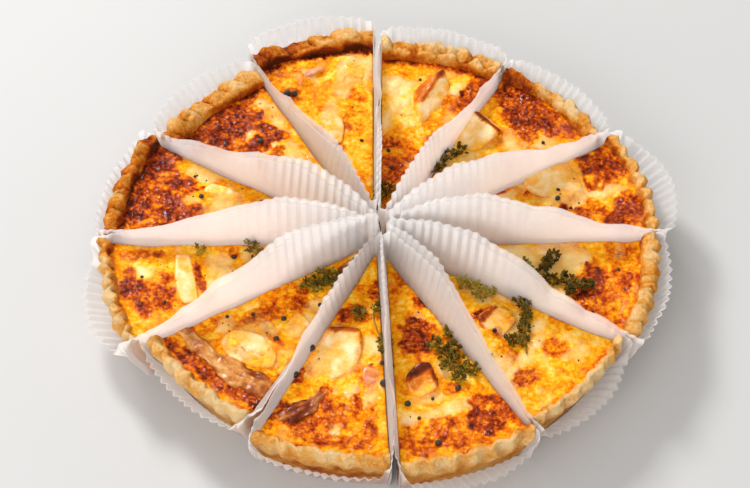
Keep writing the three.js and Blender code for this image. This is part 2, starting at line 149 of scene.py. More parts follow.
def add_node(tree, kind, settings=None, **inputs):
    """Adds a node to a tree, sets what settings names, where stops are the places and colours of a colour
    ramp, and sets or links each input by its name or, after an underscore, its number."""
    node = tree.nodes.new(kind)
    for label, value in (settings or {}).items():
        if label == "stops":
            elements = node.color_ramp.elements
            while len(elements) < len(value):
                elements.new(0.5)
            for element, (place, code) in zip(elements, value):
                element.position = place
                element.color = colour(code)
        else:
            setattr(node, label, value)
    for label, value in inputs.items():
        key = int(label[1:]) if label[0] == "_" and label[1:].isdigit() else label.replace("_", " ")
        socket = node.inputs[key]
        if isinstance(value, bpy.types.NodeSocket):
            tree.links.new(value, socket)
        else:
            socket.default_value = value
    return node


def new_material(name):
    """An empty material, its tree and the socket that its shader goes into."""
    material = bpy.data.materials.new(name)
    material.use_nodes = True
    tree = material.node_tree
    tree.nodes.clear()
    return material, tree, add_node(tree, "ShaderNodeOutputMaterial").inputs["Surface"]


def make_crust_material():
    """Baked shortcrust: dry and matt, IOR of starch about 1.5. Pale sand on the flat outside, gold to
    toffee brown where it baked harder and as painted shade in the folds, paler as painted highlight on
    the crests, in patches 9 mm wide with the 1.6 mm speckle of butter and flour."""
    material, tree, surface = new_material("baked_shortcrust")
    place = add_node(tree, "ShaderNodeTexCoord").outputs["Object"]
    # The attribute read here holds how hard the crust baked, with painted shade in its creases and cracks and
    # painted highlight on its crests.
    bake = add_node(tree, "ShaderNodeAttribute", {"attribute_name": "bake"}).outputs["Fac"]
    patches = add_node(tree, "ShaderNodeTexNoise", Vector=place, Scale=1 / 0.009, Detail=4.0, Roughness=0.6)
    meal = add_node(tree, "ShaderNodeTexNoise", Vector=place, Scale=1 / 0.0016, Detail=5.0, Roughness=0.75)
    patches, meal = patches.outputs["Fac"], meal.outputs["Fac"]
    level = add_node(tree, "ShaderNodeMath", {"operation": "MULTIPLY_ADD"}, _0=patches, _1=0.5, _2=bake)
    level = add_node(
        tree, "ShaderNodeMath", {"operation": "MULTIPLY_ADD"}, _0=meal, _1=0.86, _2=level.outputs[0]
    )
    level = add_node(tree, "ShaderNodeMath", {"operation": "SUBTRACT"}, _0=level.outputs[0], _1=0.65)
    tint = add_node(
        tree, "ShaderNodeValToRGB", {"stops": (
            (0.0, "#ffd698"), (0.15, "#fdbd68"), (0.32, "#f19e38"), (0.5, "#d66e10"), (0.7, "#a23c04"),
            (1.0, "#541e02"),
        )}, Fac=level.outputs[0],
    ).outputs["Color"]
    grain = add_node(tree, "ShaderNodeMath", {"operation": "MULTIPLY_ADD"}, _0=patches, _1=0.6, _2=meal)
    bump = add_node(tree, "ShaderNodeBump", Strength=1.0, Distance=0.0026, Height=grain.outputs[0])
    roughness = add_node(tree, "ShaderNodeMapRange", Value=patches, To_Min=0.5, To_Max=0.75)
    shader = add_node(
        tree, "ShaderNodeBsdfPrincipled", Base_Color=tint, Roughness=roughness.outputs[0], IOR=1.5,
        Normal=bump.outputs[0], Specular_IOR_Level=0.1,
    )
    tree.links.new(shader.outputs[0], surface)
    return material


def smooth_step(low, high, value):
    """From 0 at low to 1 at high without a kink."""
    share = np.clip((value - low) / (high - low), 0, 1)
    return share * share * (3 - 2 * share)


PRIMES = (73856093, 19349663, 83492791)


def lumps(points, size, seed):
    """Smooth noise from -1 to 1 over an array of points, with lumps about as wide as size. Each corner of
    a cell gets its own height, scrambled from its whole-number place."""
    cells = np.asarray(points, float) / size + 31.7 * seed
    low = np.floor(cells).astype(np.int64)
    share = cells - low
    share = share * share * (3 - 2 * share)
    total = 0.0
    for corner in itertools.product((0, 1), repeat=cells.shape[-1]):
        spot = low + corner
        mixed = sum(spot[..., i] * prime for i, prime in zip(range(len(corner)), PRIMES))
        mixed = (mixed ^ (mixed >> 13)) * 1274126177
        mixed = (mixed ^ (mixed >> 16)) & 0xFFFF
        weight = np.prod([share[..., i] if c else 1 - share[..., i] for i, c in enumerate(corner)], axis=0)
        total = total + weight * (mixed / 32767.5 - 1)
    return total


def layered(points, size, seed):
    """The same with two rounds of finer lumps on the coarse ones."""
    return sum(lumps(points, size / 2**i, seed + 7 * i) / 2**i for i in range(3))


def grid_faces(rows, columns, closed_rows=False, closed_columns=False):
    """Quads over a grid of points numbered row by row."""
    row = np.arange(rows if closed_rows else rows - 1)[:, None]
    column = np.arange(columns if closed_columns else columns - 1)[None, :]
    next_row, next_column = (row + 1) % rows, (column + 1) % columns
    corners = [row * columns + column, row * columns + next_column]
    corners += [next_row * columns + next_column, next_row * columns + column]
    return np.stack([c.ravel() for c in corners], axis=1)


def make_piece(name, points, faces, material, **attributes):
    """A mesh piece from points in the row frame, with a number at each point for each attribute."""
    mesh = bpy.data.meshes.new(name)
    mesh.from_pydata(np.asarray(points).reshape(-1, 3).tolist(), [], [list(map(int, face)) for face in faces])
    for label, values in attributes.items():
        values = np.asarray(values, np.float32).ravel()
        mesh.attributes.new(label, "FLOAT", "POINT").data.foreach_set("value", values)
    mesh.polygons.foreach_set("use_smooth", np.full(len(mesh.polygons), True))
    mesh.materials.append(material)
    mesh.update()
    piece = bpy.data.objects.new(name, mesh)
    bpy.context.scene.collection.objects.link(piece)
    return piece


def seat(piece, slot, *nodes):
    """Every piece rides on the one body, and stands for its plain solid where it has one."""
    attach(piece, "root")
    if nodes:
        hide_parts(*nodes)


def make_crust(slice_, rim, material):
    """One slice's crust: its section turned round the tip, its rim pinched, creased and cracked."""
    profile, shown = crust_profile(rim["width"])
    radius, height = profile[:, 0], profile[:, 1]
    angles = np.linspace(HALF_ANGLE, -HALF_ANGLE, ARC_STEPS + 1)
    along = angles * RIM_RADIUS
    seed = slice_.number * 3.7
    shape = (ARC_STEPS + 1, len(profile))
    spots = np.stack(
        [
            np.broadcast_to(along[:, None], shape),
            np.broadcast_to(radius[None, :], shape),
            np.broadcast_to(height[None, :] + seed * 9, shape),
        ],
        axis=-1,
    )
    # pinches: pillows of dough with creases between them, each with its own height and tilt
    chance = np.random.default_rng(slice_.number)
    across = np.where(height < SHOULDER, RIM_RADIUS + 0.3 * (SHOULDER - height), radius)[None, :]
    place = along[:, None] + rim["skew"] * (across - SKEW_RADIUS)
    place = place + 1.6 * lumps(spots, 7, 1) + 0.6 * lumps(spots, 2.5, 2)
    across = across + 1.5 * lumps(spots, 6, 12)
    centres = []
    for row in range(rim["rows"]):
        widths = rim["pitch"] * (1 + rim["vary"] * chance.uniform(-1, 1, PINCHES))
        for middle in np.cumsum(widths) + FIRST_PINCH - 0.5 * rim["pitch"] * row:
            reach = RIM_RADIUS - rim["width"] * (0.5 if rim["rows"] == 1 else (0.12, 0.85)[row])
            centres.append((middle, reach + chance.uniform(-1, 1) * 0.6 * rim["rows"]))
    squash = 0.35 if rim["rows"] == 1 else 0.8
    far = np.array([np.hypot(place - c, squash * (across - r)) for c, r in centres]) / rim["pitch"]
    order = np.argsort(far, axis=0)[:2]
    nearest, second = np.take_along_axis(far, order, axis=0)
    fold = order[0]
    firm = chance.uniform(0.1, 1.05, len(centres))
    puff = 1 - (1 - np.clip((second - nearest) / 0.6, 0, 1)) ** 2
    puff = 1 - (1 - puff) * np.sqrt(firm[fold] * firm[order[1]])  # least in a crease
    lift_of = chance.uniform(-1, 1, len(centres))[fold]
    tilt_of = chance.uniform(-1, 1, len(centres))[fold] * (place - np.array(centres)[fold, 0]) / rim["pitch"]
    # how much each point of the section takes part in the pinches
    part = smooth_step(6, SHOULDER + 1, height) * smooth_step(CUSTARD_RADIUS - 3, CUSTARD_RADIUS + 4, radius)
    crest = smooth_step(SHOULDER - 2, CRUST_HEIGHT, height)
    crest = crest * smooth_step(CUSTARD_RADIUS - 2, CUSTARD_RADIUS + 2, radius)
    part[shown:] = 0
    crest[shown:] = 0
    outer = 0.3 + 0.7 * smooth_step(RIM_RADIUS - rim["width"], RIM_RADIUS - 1, radius)
    grid_radius = radius + rim["depth"] * (puff * (1 + 0.35 * tilt_of) - 0.72) * part * outer
    weave = np.cos(math.tau * (place + 3 * lumps(spots, 14, 16)) / rim["pitch"])
    grid_radius = grid_radius + rim["wave"] * weave * part
    grid_height = height + rim["lift"] * (puff * (1 + 0.45 * lift_of + 0.8 * tilt_of) - 0.8) * crest
    crack = 1 - np.abs(lumps(spots, 3.4, 13))  # 1 along thin wandering lines
    crack = smooth_step(0.88, 1.0, crack) * (0.3 + 0.7 * smooth_step(-0.2, 0.5, lumps(spots, 9, 15)))
    swell = 0.55 * lumps(spots, 9, 3) + 0.42 * lumps(spots, 3.6, 4) + 0.3 * lumps(spots, 1.7, 5)
    swell = rim["uneven"] * swell
    grid_height = grid_height + (swell - 0.35 * crack) * crest
    bulge = 0.6 * layered(spots, 8, 6) + 0.2 * lumps(spots, 1.6, 10)
    grid_radius = grid_radius + rim["uneven"] * bulge * part
    grid_radius = grid_radius - 0.2 * crack * part
    wall = smooth_step(0, 6, height) * (radius > BASE_RADIUS - 0.5)
    wall[shown:] = 0
    grid_radius = grid_radius + 0.16 * layered(spots, 4, 8) * wall
    x, y = grid_radius * np.sin(angles)[:, None], grid_radius * np.cos(angles)[:, None]
    points = np.stack([x, y, grid_height + STAND], axis=-1)
    # darker along the custard and at the ends that baked harder; painted shade darkens the creases and
    # cracks, and painted highlight makes the crests, the higher pinches and the swells paler
    crease = (1 - puff) ** 1.5 * (0.35 * part + 0.65 * crest) * min(1, rim["lift"] / 2.6)
    inner = RIM_RADIUS - rim["width"]
    inside = 1 - smooth_step(inner - 0.5, inner + 2.2, grid_radius + 1.2 * lumps(spots, 4, 11))
    inside = inside * (0.75 + 0.6 * lumps(spots, 11, 14))
    end_share = np.linspace(0, 1, ARC_STEPS + 1)[:, None]  # 0 at the clockwise end
    before, after = rim["bake"]
    ends = after * (1 - smooth_step(0, 0.5, end_share)) + before * smooth_step(0.4, 0.9, end_share)
    # the crease and crack terms are painted shade, the crest, lift and swell terms painted highlight
    bake = 0.16 + rim["tone"] + 0.34 * crease + 0.6 * rim["ring"] * inside + 0.14 * crack * crest
    bake = bake + ends * (0.4 + 0.6 * crest) - 0.1 * swell * crest + 0.2 * lumps(spots, 7, 9)
    bake = bake - 0.08 * lift_of * crest - 0.12 * (puff - 0.6) * crest
    count = len(profile)
    faces = grid_faces(ARC_STEPS + 1, count, closed_columns=True).tolist()
    faces.append(list(range(count)))
    faces.append([ARC_STEPS * count + i for i in reversed(range(count))])
    piece = make_piece("shortcrust_" + slice_.label, slice_.place(points), faces, material, bake=bake)
    for polygon in list(piece.data.polygons)[-2:]:
        polygon.use_smooth = False
    seat(piece, "crust", "crust_" + slice_.label)


shortcrust = make_crust_material()
for slice_, rim in zip(SLICES, RIMS):
    make_crust(slice_, rim, shortcrust)

# ---- The custard ----------------------------------------------------------------------------
# Egg, cream and grated cheese, poured into the crust and set firm in the oven. Its top is bright
# yellow and orange with pale melted cheese, and fried red-brown in blistered, oily patches, most of
# all near the crust.
CUSTARD_LEVEL = 25.1  # of its top above the underside of the crust
CUSTARD_SWELL = 0.63
CUT_INSET = 0.0012  # radians by which its cut lies behind the crust's cut ends
TUCK_IN_WALL, TUCK_IN_RIM = 1.8, 2.6  # how far it runs into the crust's wall, or into a wide rim
FOOT_GAP = 0.3  # off the crust's floor and off the foot of its wall
CUT_ROUNDING, CUT_DROP = 1.2, 0.5  # width and depth of the softened edge along a cut
CUT_BROWNED, CUT_PALE = 0.05, 0.35  # looks of the cut faces
RADIAL_STEPS, ACROSS_STEPS, CUT_ROWS = 200, 96, 7  # of the mesh along, across and down a slice

# Browned patches on each slice: side and out of the middle, half width, half length, turn
# clockwise in degrees, and strength: 0.4 is orange, 0.7 rust and 1 nearly black.
BROWNED = (
    [
        (-26, 107, 9, 5, 0, 0.62), (-17, 88, 6, 5, 0, 0.5), (-11, 58, 3, 8, -12, 0.55),
        (4, 60, 4, 2, 60, 0.5), (-3, 74, 4, 3, 0, 0.35), (-9, 96, 10, 6, 60, 0.3), (-22, 99, 6, 6, 0, 0.4),
        (13, 79, 7, 5, 30, 0.25), (-6, 49, 5, 4, 0, 0.4), (10, 70, 5, 4, 0, 0.3), (-2, 22, 2, 4, 0, 0.5),
        (-22, 78, 3, 5, 0, 0.4),
    ],
    [
        (19, 95, 4, 13, 12, 0.8), (-11, 54, 5, 4, 0, 0.65), (-5, 37, 7, 10, 0, 0.62), (0, 50, 6, 6, 0, 0.5),
        (-13, 99, 9, 3, -30, 0.22), (13, 84, 6, 6, 0, 0.5), (8, 61, 4, 5, 20, 0.45), (-2, 25, 4, 6, 0, 0.6),
        (-6, 64, 5, 4, 0, 0.3), (-1, 12, 3, 7, 0, 0.4), (-22, 105, 6, 3, 0, 0.6),
    ],
    [
        (-10, 102, 18, 12, 0, 0.88), (-20, 107, 8, 7, 0, 0.95), (3, 105, 12, 8, 20, 0.75),
        (0, 94, 9, 5, 30, 0.68), (13, 106, 9, 5, 30, 0.55), (-13, 40, 3, 12, -12, 0.6),
        (5, 45, 6, 8, 0, 0.4), (-6, 83, 3, 2, 0, 0.4), (14, 84, 4, 7, 10, 0.3),
    ],
    [
        (-17, 104, 15, 11, 6, 0.74), (-22, 97, 8, 6, 0, 0.68), (13, 106, 10, 10, -10, 0.84),
        (18, 98, 7, 8, 30, 0.85), (8, 84, 5, 4, 30, 0.75), (5, 77, 4, 3, 0, 0.7), (-9, 92, 5, 2, 0, 0.55),
        (-9, 63, 3, 1.5, 30, 0.6), (-15, 50, 4, 6, -10, 0.55), (8, 92, 6, 5, 0, 0.55),
        (-19, 62, 2, 4, 0, 0.5), (3, 90, 4, 3, 0, 0.35),
    ],
    [
        (2, 89, 14, 6, 0, 0.76), (0, 99, 24, 9, 0, 0.42), (-4, 104, 8, 3, 0, 0.75), (13, 86, 6, 5, 0, 0.75),
        (-16, 97, 6, 8, 0, 0.4), (17, 95, 5, 7, 0, 0.45), (-16, 72, 3, 9, -10, 0.35),
        (-11, 37, 3, 7, -10, 0.55), (4, 82, 7, 4, 0, 0.5), (22, 103, 5, 5, 0, 0.5), (-1, 20, 3, 6, 0, 0.5),
    ],
    [
        (-8, 92, 5, 6, 0, 0.48), (12, 93, 6, 5, 10, 0.66), (0, 56, 6, 2.5, 10, 0.7), (3, 66, 4, 5, 0, 0.45),
        (-13, 26, 3, 9, -12, 0.5), (8, 78, 4, 8, 15, 0.35), (-20, 84, 3, 6, -10, 0.3),
        (-1, 12, 2.5, 6, 0, 0.55),
    ],
    [
        (-14, 98, 11, 8, 0, 0.88), (-22, 94, 6, 9, -10, 0.7), (15, 103, 10, 6, 0, 0.7),
        (10, 99, 6, 6, 0, 0.6), (-15, 88, 7, 4, 0, 0.55), (1, 97, 7, 7, 0, 0.4), (1, 46, 8, 11, 18, 0.74),
        (-8, 29, 4, 4, 0, 0.85), (-4, 78, 4, 3, 0, 0.5), (18, 92, 5, 4, 0, 0.4), (-3, 12, 3, 6, 0, 0.45),
        (22, 98, 5, 7, 10, 0.6), (0, 101, 29, 10, 0, 0.52), (-10, 61, 5, 6, 0, 0.45),
    ],
    [
        (0, 92, 10, 10, 0, 0.5), (-18, 92, 4, 12, -12, 0.5), (4, 83, 3.5, 9, -14, 0.66),
        (14, 97, 8, 6, 0, 0.75), (24, 93, 7, 7, 0, 0.75), (-9, 84, 3, 8, -10, 0.55), (20, 75, 5, 6, 0, 0.8),
        (1, 36, 8, 5, 0, 0.75), (-6, 20, 5, 8, 10, 0.68), (-15, 62, 4, 7, 0, 0.35), (0, 104, 26, 4, 0, 0.5),
        (-12, 71, 4, 4, 0, 0.35),
    ],
    [
        (10, 106, 22, 3.5, 0, 0.78), (-20, 101, 12, 6, 0, 0.8), (-2, 106, 9, 4, 0, 0.7),
        (6, 60, 6, 13, 10, 0.46), (1, 51, 5, 6, 0, 0.5), (-9, 38, 4, 4, 0, 0.5), (18, 87, 3, 8, 5, 0.4),
        (10, 72, 4, 6, 0, 0.45), (-2, 16, 3, 8, 0, 0.7), (-6, 72, 6, 3, 0, 0.4), (24, 96, 5, 4, 0, 0.55),
        (3, 44, 4, 3, 0, 0.6),
    ],
    [
        (-3, 102, 12, 7, -20, 0.75), (3, 105, 7, 6, 0, 0.85), (-6, 93, 7, 6, 0, 0.68),
        (9, 104, 6, 3, 10, 0.6), (0, 74, 10, 2, 0, 0.62), (11, 56, 3, 2.5, 0, 0.6),
        (20, 98, 3.5, 12, 10, 0.6), (-24, 88, 4, 6, 0, 0.3), (-15, 101, 4, 4, 0, 0.5),
        (4, 88, 4, 3, 0, 0.5),
    ],
    [
        (-8, 105, 12, 8, 0, 0.9), (19, 102, 10, 10, 0, 0.92), (5, 108, 16, 5, 0, 0.75),
        (-6, 91, 11, 9, 0, 0.85), (8, 88, 7, 8, 0, 0.75), (-8, 80, 9, 5, -10, 0.68), (3, 98, 16, 8, 0, 0.6),
        (5, 49, 4, 6, 0, 0.72), (13, 73, 5, 4, 0, 0.3), (-20, 99, 6, 6, 0, 0.5), (13, 95, 6, 6, 0, 0.7),
        (4, 56, 3, 3, 0, 0.45),
    ],
    [
        (-8, 99, 17, 10, 0, 0.9), (8, 96, 10, 10, 0, 0.9), (10, 82, 5, 9, 0, 0.82), (-1, 80, 8, 6, 0, 0.8),
        (3, 69, 6, 4, 0, 0.6), (-22, 101, 7, 6, 0, 0.85), (16, 104, 9, 4, 0, 0.7), (13, 76, 4, 4, 0, 0.5),
        (-6, 88, 10, 4, 0, 0.55), (2, 105, 22, 3, 0, 0.8),
    ],
)
# Pale melted cheese and boiled potato just under the skin, as above without the strength.
PALE = (
    [
        (18, 95, 8, 10, 20), (-18, 71, 4, 8, -12), (-3, 64, 4, 12, 8), (-3, 36, 3, 8, 0), (8, 84, 4, 5, 0),
        (-6, 97, 7, 2, 60),
    ],
    [(-18, 90, 5, 6, 0), (-10, 82, 6, 13, 8), (-16, 66, 3, 7, 0), (-6, 70, 5, 5, 0), (12, 92, 3, 5, 0)],
    [
        (-14, 72, 9, 9, 0), (4, 80, 9, 3, 20), (14, 92, 5, 6, 10), (-20, 62, 3, 7, 0), (-4, 60, 5, 7, 0),
        (-14, 50, 4, 8, 0),
    ],
    [
        (-12, 78, 14, 14, -10), (-2, 99, 4, 9, 0), (-3, 88, 5, 3, 0), (-14, 66, 5, 6, 0), (2, 84, 3, 4, 0),
        (-13, 53, 4, 6, 0),
    ],
    [(-8, 72, 12, 10, 0), (-3, 58, 9, 10, 0), (14, 76, 5, 6, 0), (-7, 48, 6, 9, 0), (-12, 83, 4, 3, 0)],
    [
        (-4, 68, 8, 6, 10), (-14, 52, 4, 6, 0), (-12, 78, 5, 3, 0), (5, 86, 5, 3, 0), (-8, 46, 4, 8, 0),
        (14, 82, 5, 7, 15), (-5, 84, 4, 3, 0), (-12, 100, 6, 3, 20),
    ],
    [
        (1, 88, 14, 3, 0), (-8, 87, 3, 3, 0), (-4, 66, 3, 5, 0), (-3, 40, 3, 6, 0), (18, 87, 4, 4, 0),
        (7, 79, 7, 3, 0),
    ],
    [
        (4, 60, 10, 13, 8), (-9, 52, 4, 6, 0), (12, 66, 5, 7, 0), (-14, 80, 3, 5, 0), (-6, 78, 3, 4, 0),
        (14, 54, 3, 8, 0), (-3, 99, 3, 6, 0),
    ],
    [(-4, 78, 15, 6, 10), (-10, 58, 5, 7, 0), (14, 82, 4, 5, 0), (0, 70, 6, 3, 0), (-6, 46, 4, 5, 0)],
    [
        (0, 80, 15, 4, -3), (2, 64, 12, 6, 0), (-6, 68, 6, 4, 0), (10, 98, 4, 4, 0), (-16, 84, 3, 4, 0),
        (6, 46, 5, 6, 0),
    ],
    [(2, 66, 11, 8, 0), (-14, 72, 5, 5, 0), (17, 82, 5, 8, 0), (0, 57, 7, 6, 0), (6, 47, 5, 7, 0)],
    [
        (0, 87, 8, 2, 0), (19, 92, 4, 9, 0), (8, 60, 6, 11, 12), (2, 75, 9, 3, 0), (16, 80, 3, 6, 0),
        (9, 46, 5, 9, 0), (3, 64, 5, 5, 0),
    ],
)
# How far the rest of each slice's top is browned. Slice 4 at 0.06 and slice 5 at 0.02 are set low to lighten
# them against the shade their cases cast: painted light.
TONES = (0.08, 0.06, 0.12, 0.06, 0.02, 0.02, 0.1, 0.14, 0.14, 0.12, 0.14, 0.14)


def custard_height(slice_, side, out):
    """The top of the custard as it set, above the table."""
    number = slice_.number
    wave = np.sin(0.16 * side + number) * np.cos(0.13 * out + 1.7 * number)
    wave = wave + 0.4 * np.sin(0.31 * out - 0.2 * side)
    return STAND + CUSTARD_LEVEL + CUSTARD_SWELL * wave


def patch(side, out, wobble, soft, middle_side, middle_out, half_side, half_out, turn):
    """How far inside a rounded patch each spot is: 1 well inside, 0 outside, with a wobbly edge."""
    angle = math.radians(turn)
    x, y = side - middle_side, out - middle_out
    across = x * math.cos(angle) - y * math.sin(angle)
    length = x * math.sin(angle) + y * math.cos(angle)
    away = np.sqrt((across / half_side) ** 2 + (length / half_out) ** 2) + wobble
    return 1 - smooth_step(1 - soft, 1 + soft, away)


def custard_looks(slice_, side, out):
    """How browned and how pale the custard is at each spot, from 0 to 1, and where its noise is read."""
    spots = np.stack([side, out, np.full_like(side, 40.0 * slice_.number)], axis=-1)
    wobble = 0.36 * lumps(spots, 6, 11) + 0.28 * lumps(spots, 2.6, 12) + 0.14 * lumps(spots, 1.3, 23)
    browned = TONES[slice_.number - 1] + 0.13 * lumps(spots, 10, 13) + 0.1 * lumps(spots, 4.5, 22)
    for *shape, strength in BROWNED[slice_.number - 1]:
        browned = np.maximum(browned, strength * patch(side, out, wobble, 0.35, *shape))
    radius = np.hypot(side, out)
    rim = RIMS[slice_.number - 1]
    edge = RIM_RADIUS - rim["width"]
    ring = rim["ring"] * (0.75 + 0.5 * lumps(spots, 12, 24))
    browned = np.maximum(browned, ring * smooth_step(edge - 4.5, edge - 0.5, radius + 4 * wobble))
    pale = 0.6 * smooth_step(0.2, 0.8, lumps(spots, 6, 14))
    for shape in PALE[slice_.number - 1]:
        pale = np.maximum(pale, patch(side, out, wobble, 0.6, *shape))
    return browned, pale * (1 - smooth_step(0.35, 0.65, browned)), spots


BEARINGS = np.linspace(0, math.tau, 24, endpoint=False)
COMPASS = np.stack([np.sin(BEARINGS), np.cos(BEARINGS)])


def footprints(slice_):
    """How far each chunk that lies in a slice's custard reaches on each bearing, in its millimetres."""
    found = []
    for name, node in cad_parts.items():
        if name[:6] in ("potato", "bacon_") and name.split("_")[1][:2] == slice_.label:
            spots = (np.array([v.co[:2] for v in node.data.vertices]) - slice_.tip) / MM
            flat = np.stack([spots @ slice_.side, spots @ slice_.out], axis=1)
            found.append((flat @ COMPASS).max(axis=0))
    return found


def custard_relief(slice_, side, out):
    """Height of the baked top above the table with its swells, blisters and wrinkles."""
    browned, pale, spots = custard_looks(slice_, side, out)
    height = custard_height(slice_, side, out)
    height = height + 0.55 * lumps(spots, 8, 15) + 0.28 * lumps(spots, 3, 16) + 0.14 * lumps(spots, 1.4, 17)
    height = height + browned * (0.34 * lumps(spots, 1.25, 18) + 0.22 * np.abs(lumps(spots, 2.4, 19)))
    edge = RIM_RADIUS - RIMS[slice_.number - 1]["width"]
    height = height + 0.8 * smooth_step(edge - 6, edge, np.hypot(side, out))
    for reach in FOOTPRINTS[slice_.number - 1]:  # it crept up round the chunks as it puffed
        away = (np.stack([side, out], axis=-1) @ COMPASS - reach).max(axis=-1)
        height = height + (0.9 + 0.9 * lumps(spots, 5, 21)) * (1 - smooth_step(-0.5, 4, away))
    return height, browned, pale


FOOTPRINTS = [footprints(slice_) for slice_ in SLICES]


def custard_skin(tree, browned, pale):
    """Colour, fine height and oily dimples of baked custard in a tree: yellow from the yolks, cream where
    cheese melted, fried rust to near-black. Swirls are 12 mm wide, curds 5 mm, dimples 2.3 mm and blisters
    1.2 mm."""
    place = add_node(tree, "ShaderNodeTexCoord").outputs["Object"]
    swirl = add_node(
        tree, "ShaderNodeTexNoise", Vector=place, Scale=1 / 0.012, Detail=4.0, Roughness=0.55, Distortion=1.2
    )
    curd = add_node(
        tree, "ShaderNodeTexNoise", Vector=place, Scale=1 / 0.005, Detail=3.0, Roughness=0.6, Distortion=0.5
    )
    grit = add_node(tree, "ShaderNodeTexNoise", Vector=place, Scale=1 / 0.0012, Detail=4.0, Roughness=0.7)
    bubble = add_node(tree, "ShaderNodeTexVoronoi", {"feature": "F1"}, Vector=place, Scale=1 / 0.0023)
    swirl, curd, grit = (noise.outputs["Fac"] for noise in (swirl, curd, grit))
    bubble = bubble.outputs["Distance"]
    blister = add_node(tree, "ShaderNodeMath", {"operation": "MULTIPLY_ADD"}, _0=bubble, _1=0.5, _2=0.27)
    blister = add_node(
        tree, "ShaderNodeMix", {"data_type": "FLOAT"}, Factor=0.55, _2=blister.outputs[0], _3=grit
    )
    blister = blister.outputs[0]
    # heat: the baked browning with its mottling, which is stronger where it is browner
    fine = add_node(tree, "ShaderNodeMath", {"operation": "MULTIPLY"}, _0=curd, _1=1.05)
    fine = add_node(
        tree, "ShaderNodeMath", {"operation": "MULTIPLY_ADD"}, _0=blister, _1=2.1, _2=fine.outputs[0]
    )
    fine = add_node(tree, "ShaderNodeMath", {"operation": "SUBTRACT"}, _0=fine.outputs[0], _1=1.575)
    lively = add_node(tree, "ShaderNodeMath", {"operation": "MULTIPLY_ADD"}, _0=browned, _1=0.45, _2=0.55)
    fine = add_node(
        tree, "ShaderNodeMath", {"operation": "MULTIPLY"}, _0=fine.outputs[0], _1=lively.outputs[0]
    )
    heat = add_node(
        tree, "ShaderNodeMath", {"operation": "MULTIPLY_ADD"}, _0=browned, _1=0.62, _2=fine.outputs[0]
    )
    heat = add_node(
        tree, "ShaderNodeMath", {"operation": "MULTIPLY_ADD"}, _0=swirl, _1=0.8, _2=heat.outputs[0]
    )
    heat = add_node(tree, "ShaderNodeMath", {"operation": "SUBTRACT"}, _0=heat.outputs[0], _1=0.2)
    tint = add_node(
        tree, "ShaderNodeValToRGB", {"stops": (
            (0.0, "#fad478"), (0.13, "#fabd2e"), (0.27, "#f6a206"), (0.4, "#ec8402"), (0.54, "#d45e00"),
            (0.68, "#ac3c00"), (0.83, "#7c2400"), (1.0, "#481200"),
        )}, Fac=heat.outputs[0],
    ).outputs["Color"]
    # share: how much of it is melted cheese, which is least where it fried
    share = add_node(tree, "ShaderNodeMath", {"operation": "MULTIPLY_ADD"}, _0=curd, _1=1.2, _2=pale)
    share = add_node(
        tree, "ShaderNodeMath", {"operation": "MULTIPLY_ADD"}, _0=swirl, _1=0.8, _2=share.outputs[0]
    )
    share = add_node(
        tree, "ShaderNodeMath", {"operation": "MULTIPLY_ADD"}, _0=blister, _1=0.4, _2=share.outputs[0]
    )
    share = add_node(
        tree, "ShaderNodeMath", {"operation": "MULTIPLY_ADD"}, _0=browned, _1=-0.5, _2=share.outputs[0]
    )
    share = add_node(
        tree, "ShaderNodeMapRange", Value=share.outputs[0], From_Min=1.33, From_Max=2.33, To_Max=0.9
    )
    cheese = add_node(
        tree, "ShaderNodeValToRGB", {"stops": (
            (0.3, "#fbe4b6"), (0.5, "#f7cc80"), (0.7, "#f2ac38"),
        )}, Fac=swirl,
    ).outputs["Color"]
    skin = add_node(tree, "ShaderNodeMix", {"data_type": "RGBA"}, Factor=share.outputs[0], _6=tint, _7=cheese)
    height = add_node(tree, "ShaderNodeMath", {"operation": "MULTIPLY_ADD"}, _0=blister, _1=1.5, _2=curd)
    dimples = add_node(tree, "ShaderNodeMath", {"operation": "MULTIPLY_ADD"}, _0=bubble, _1=0.7, _2=curd)
    return skin.outputs[2], height.outputs[0], dimples.outputs[0]


def make_custard_material():
    """Baked custard: a soft, moist gel, IOR about 1.4, with a thin film of butter on its skin, which is
    glossiest where it fried."""
    material, tree, surface = new_material("baked_custard")
    browned = add_node(tree, "ShaderNodeAttribute", {"attribute_name": "browned"}).outputs["Fac"]
    pale = add_node(tree, "ShaderNodeAttribute", {"attribute_name": "pale"}).outputs["Fac"]
    skin, height, dimples = custard_skin(tree, browned, pale)
    depth = add_node(tree, "ShaderNodeMapRange", Value=browned, To_Min=0.5, To_Max=1.0)
    bump = add_node(tree, "ShaderNodeBump", Strength=depth.outputs[0], Distance=0.0012, Height=height)
    film = add_node(tree, "ShaderNodeBump", Strength=0.8, Distance=0.0015, Height=dimples)
    roughness = add_node(tree, "ShaderNodeMapRange", Value=browned, To_Min=0.42, To_Max=0.24)
    butter = add_node(tree, "ShaderNodeMapRange", Value=browned, To_Min=0.08, To_Max=0.27)
    shader = add_node(
        tree, "ShaderNodeBsdfPrincipled", Base_Color=skin, Roughness=roughness.outputs[0], IOR=1.42,
        Normal=bump.outputs[0], Specular_IOR_Level=0.02, Coat_Weight=butter.outputs[0], Coat_Roughness=0.05,
        Coat_Normal=film.outputs[0],
    )
    tree.links.new(shader.outputs[0], surface)
    return material


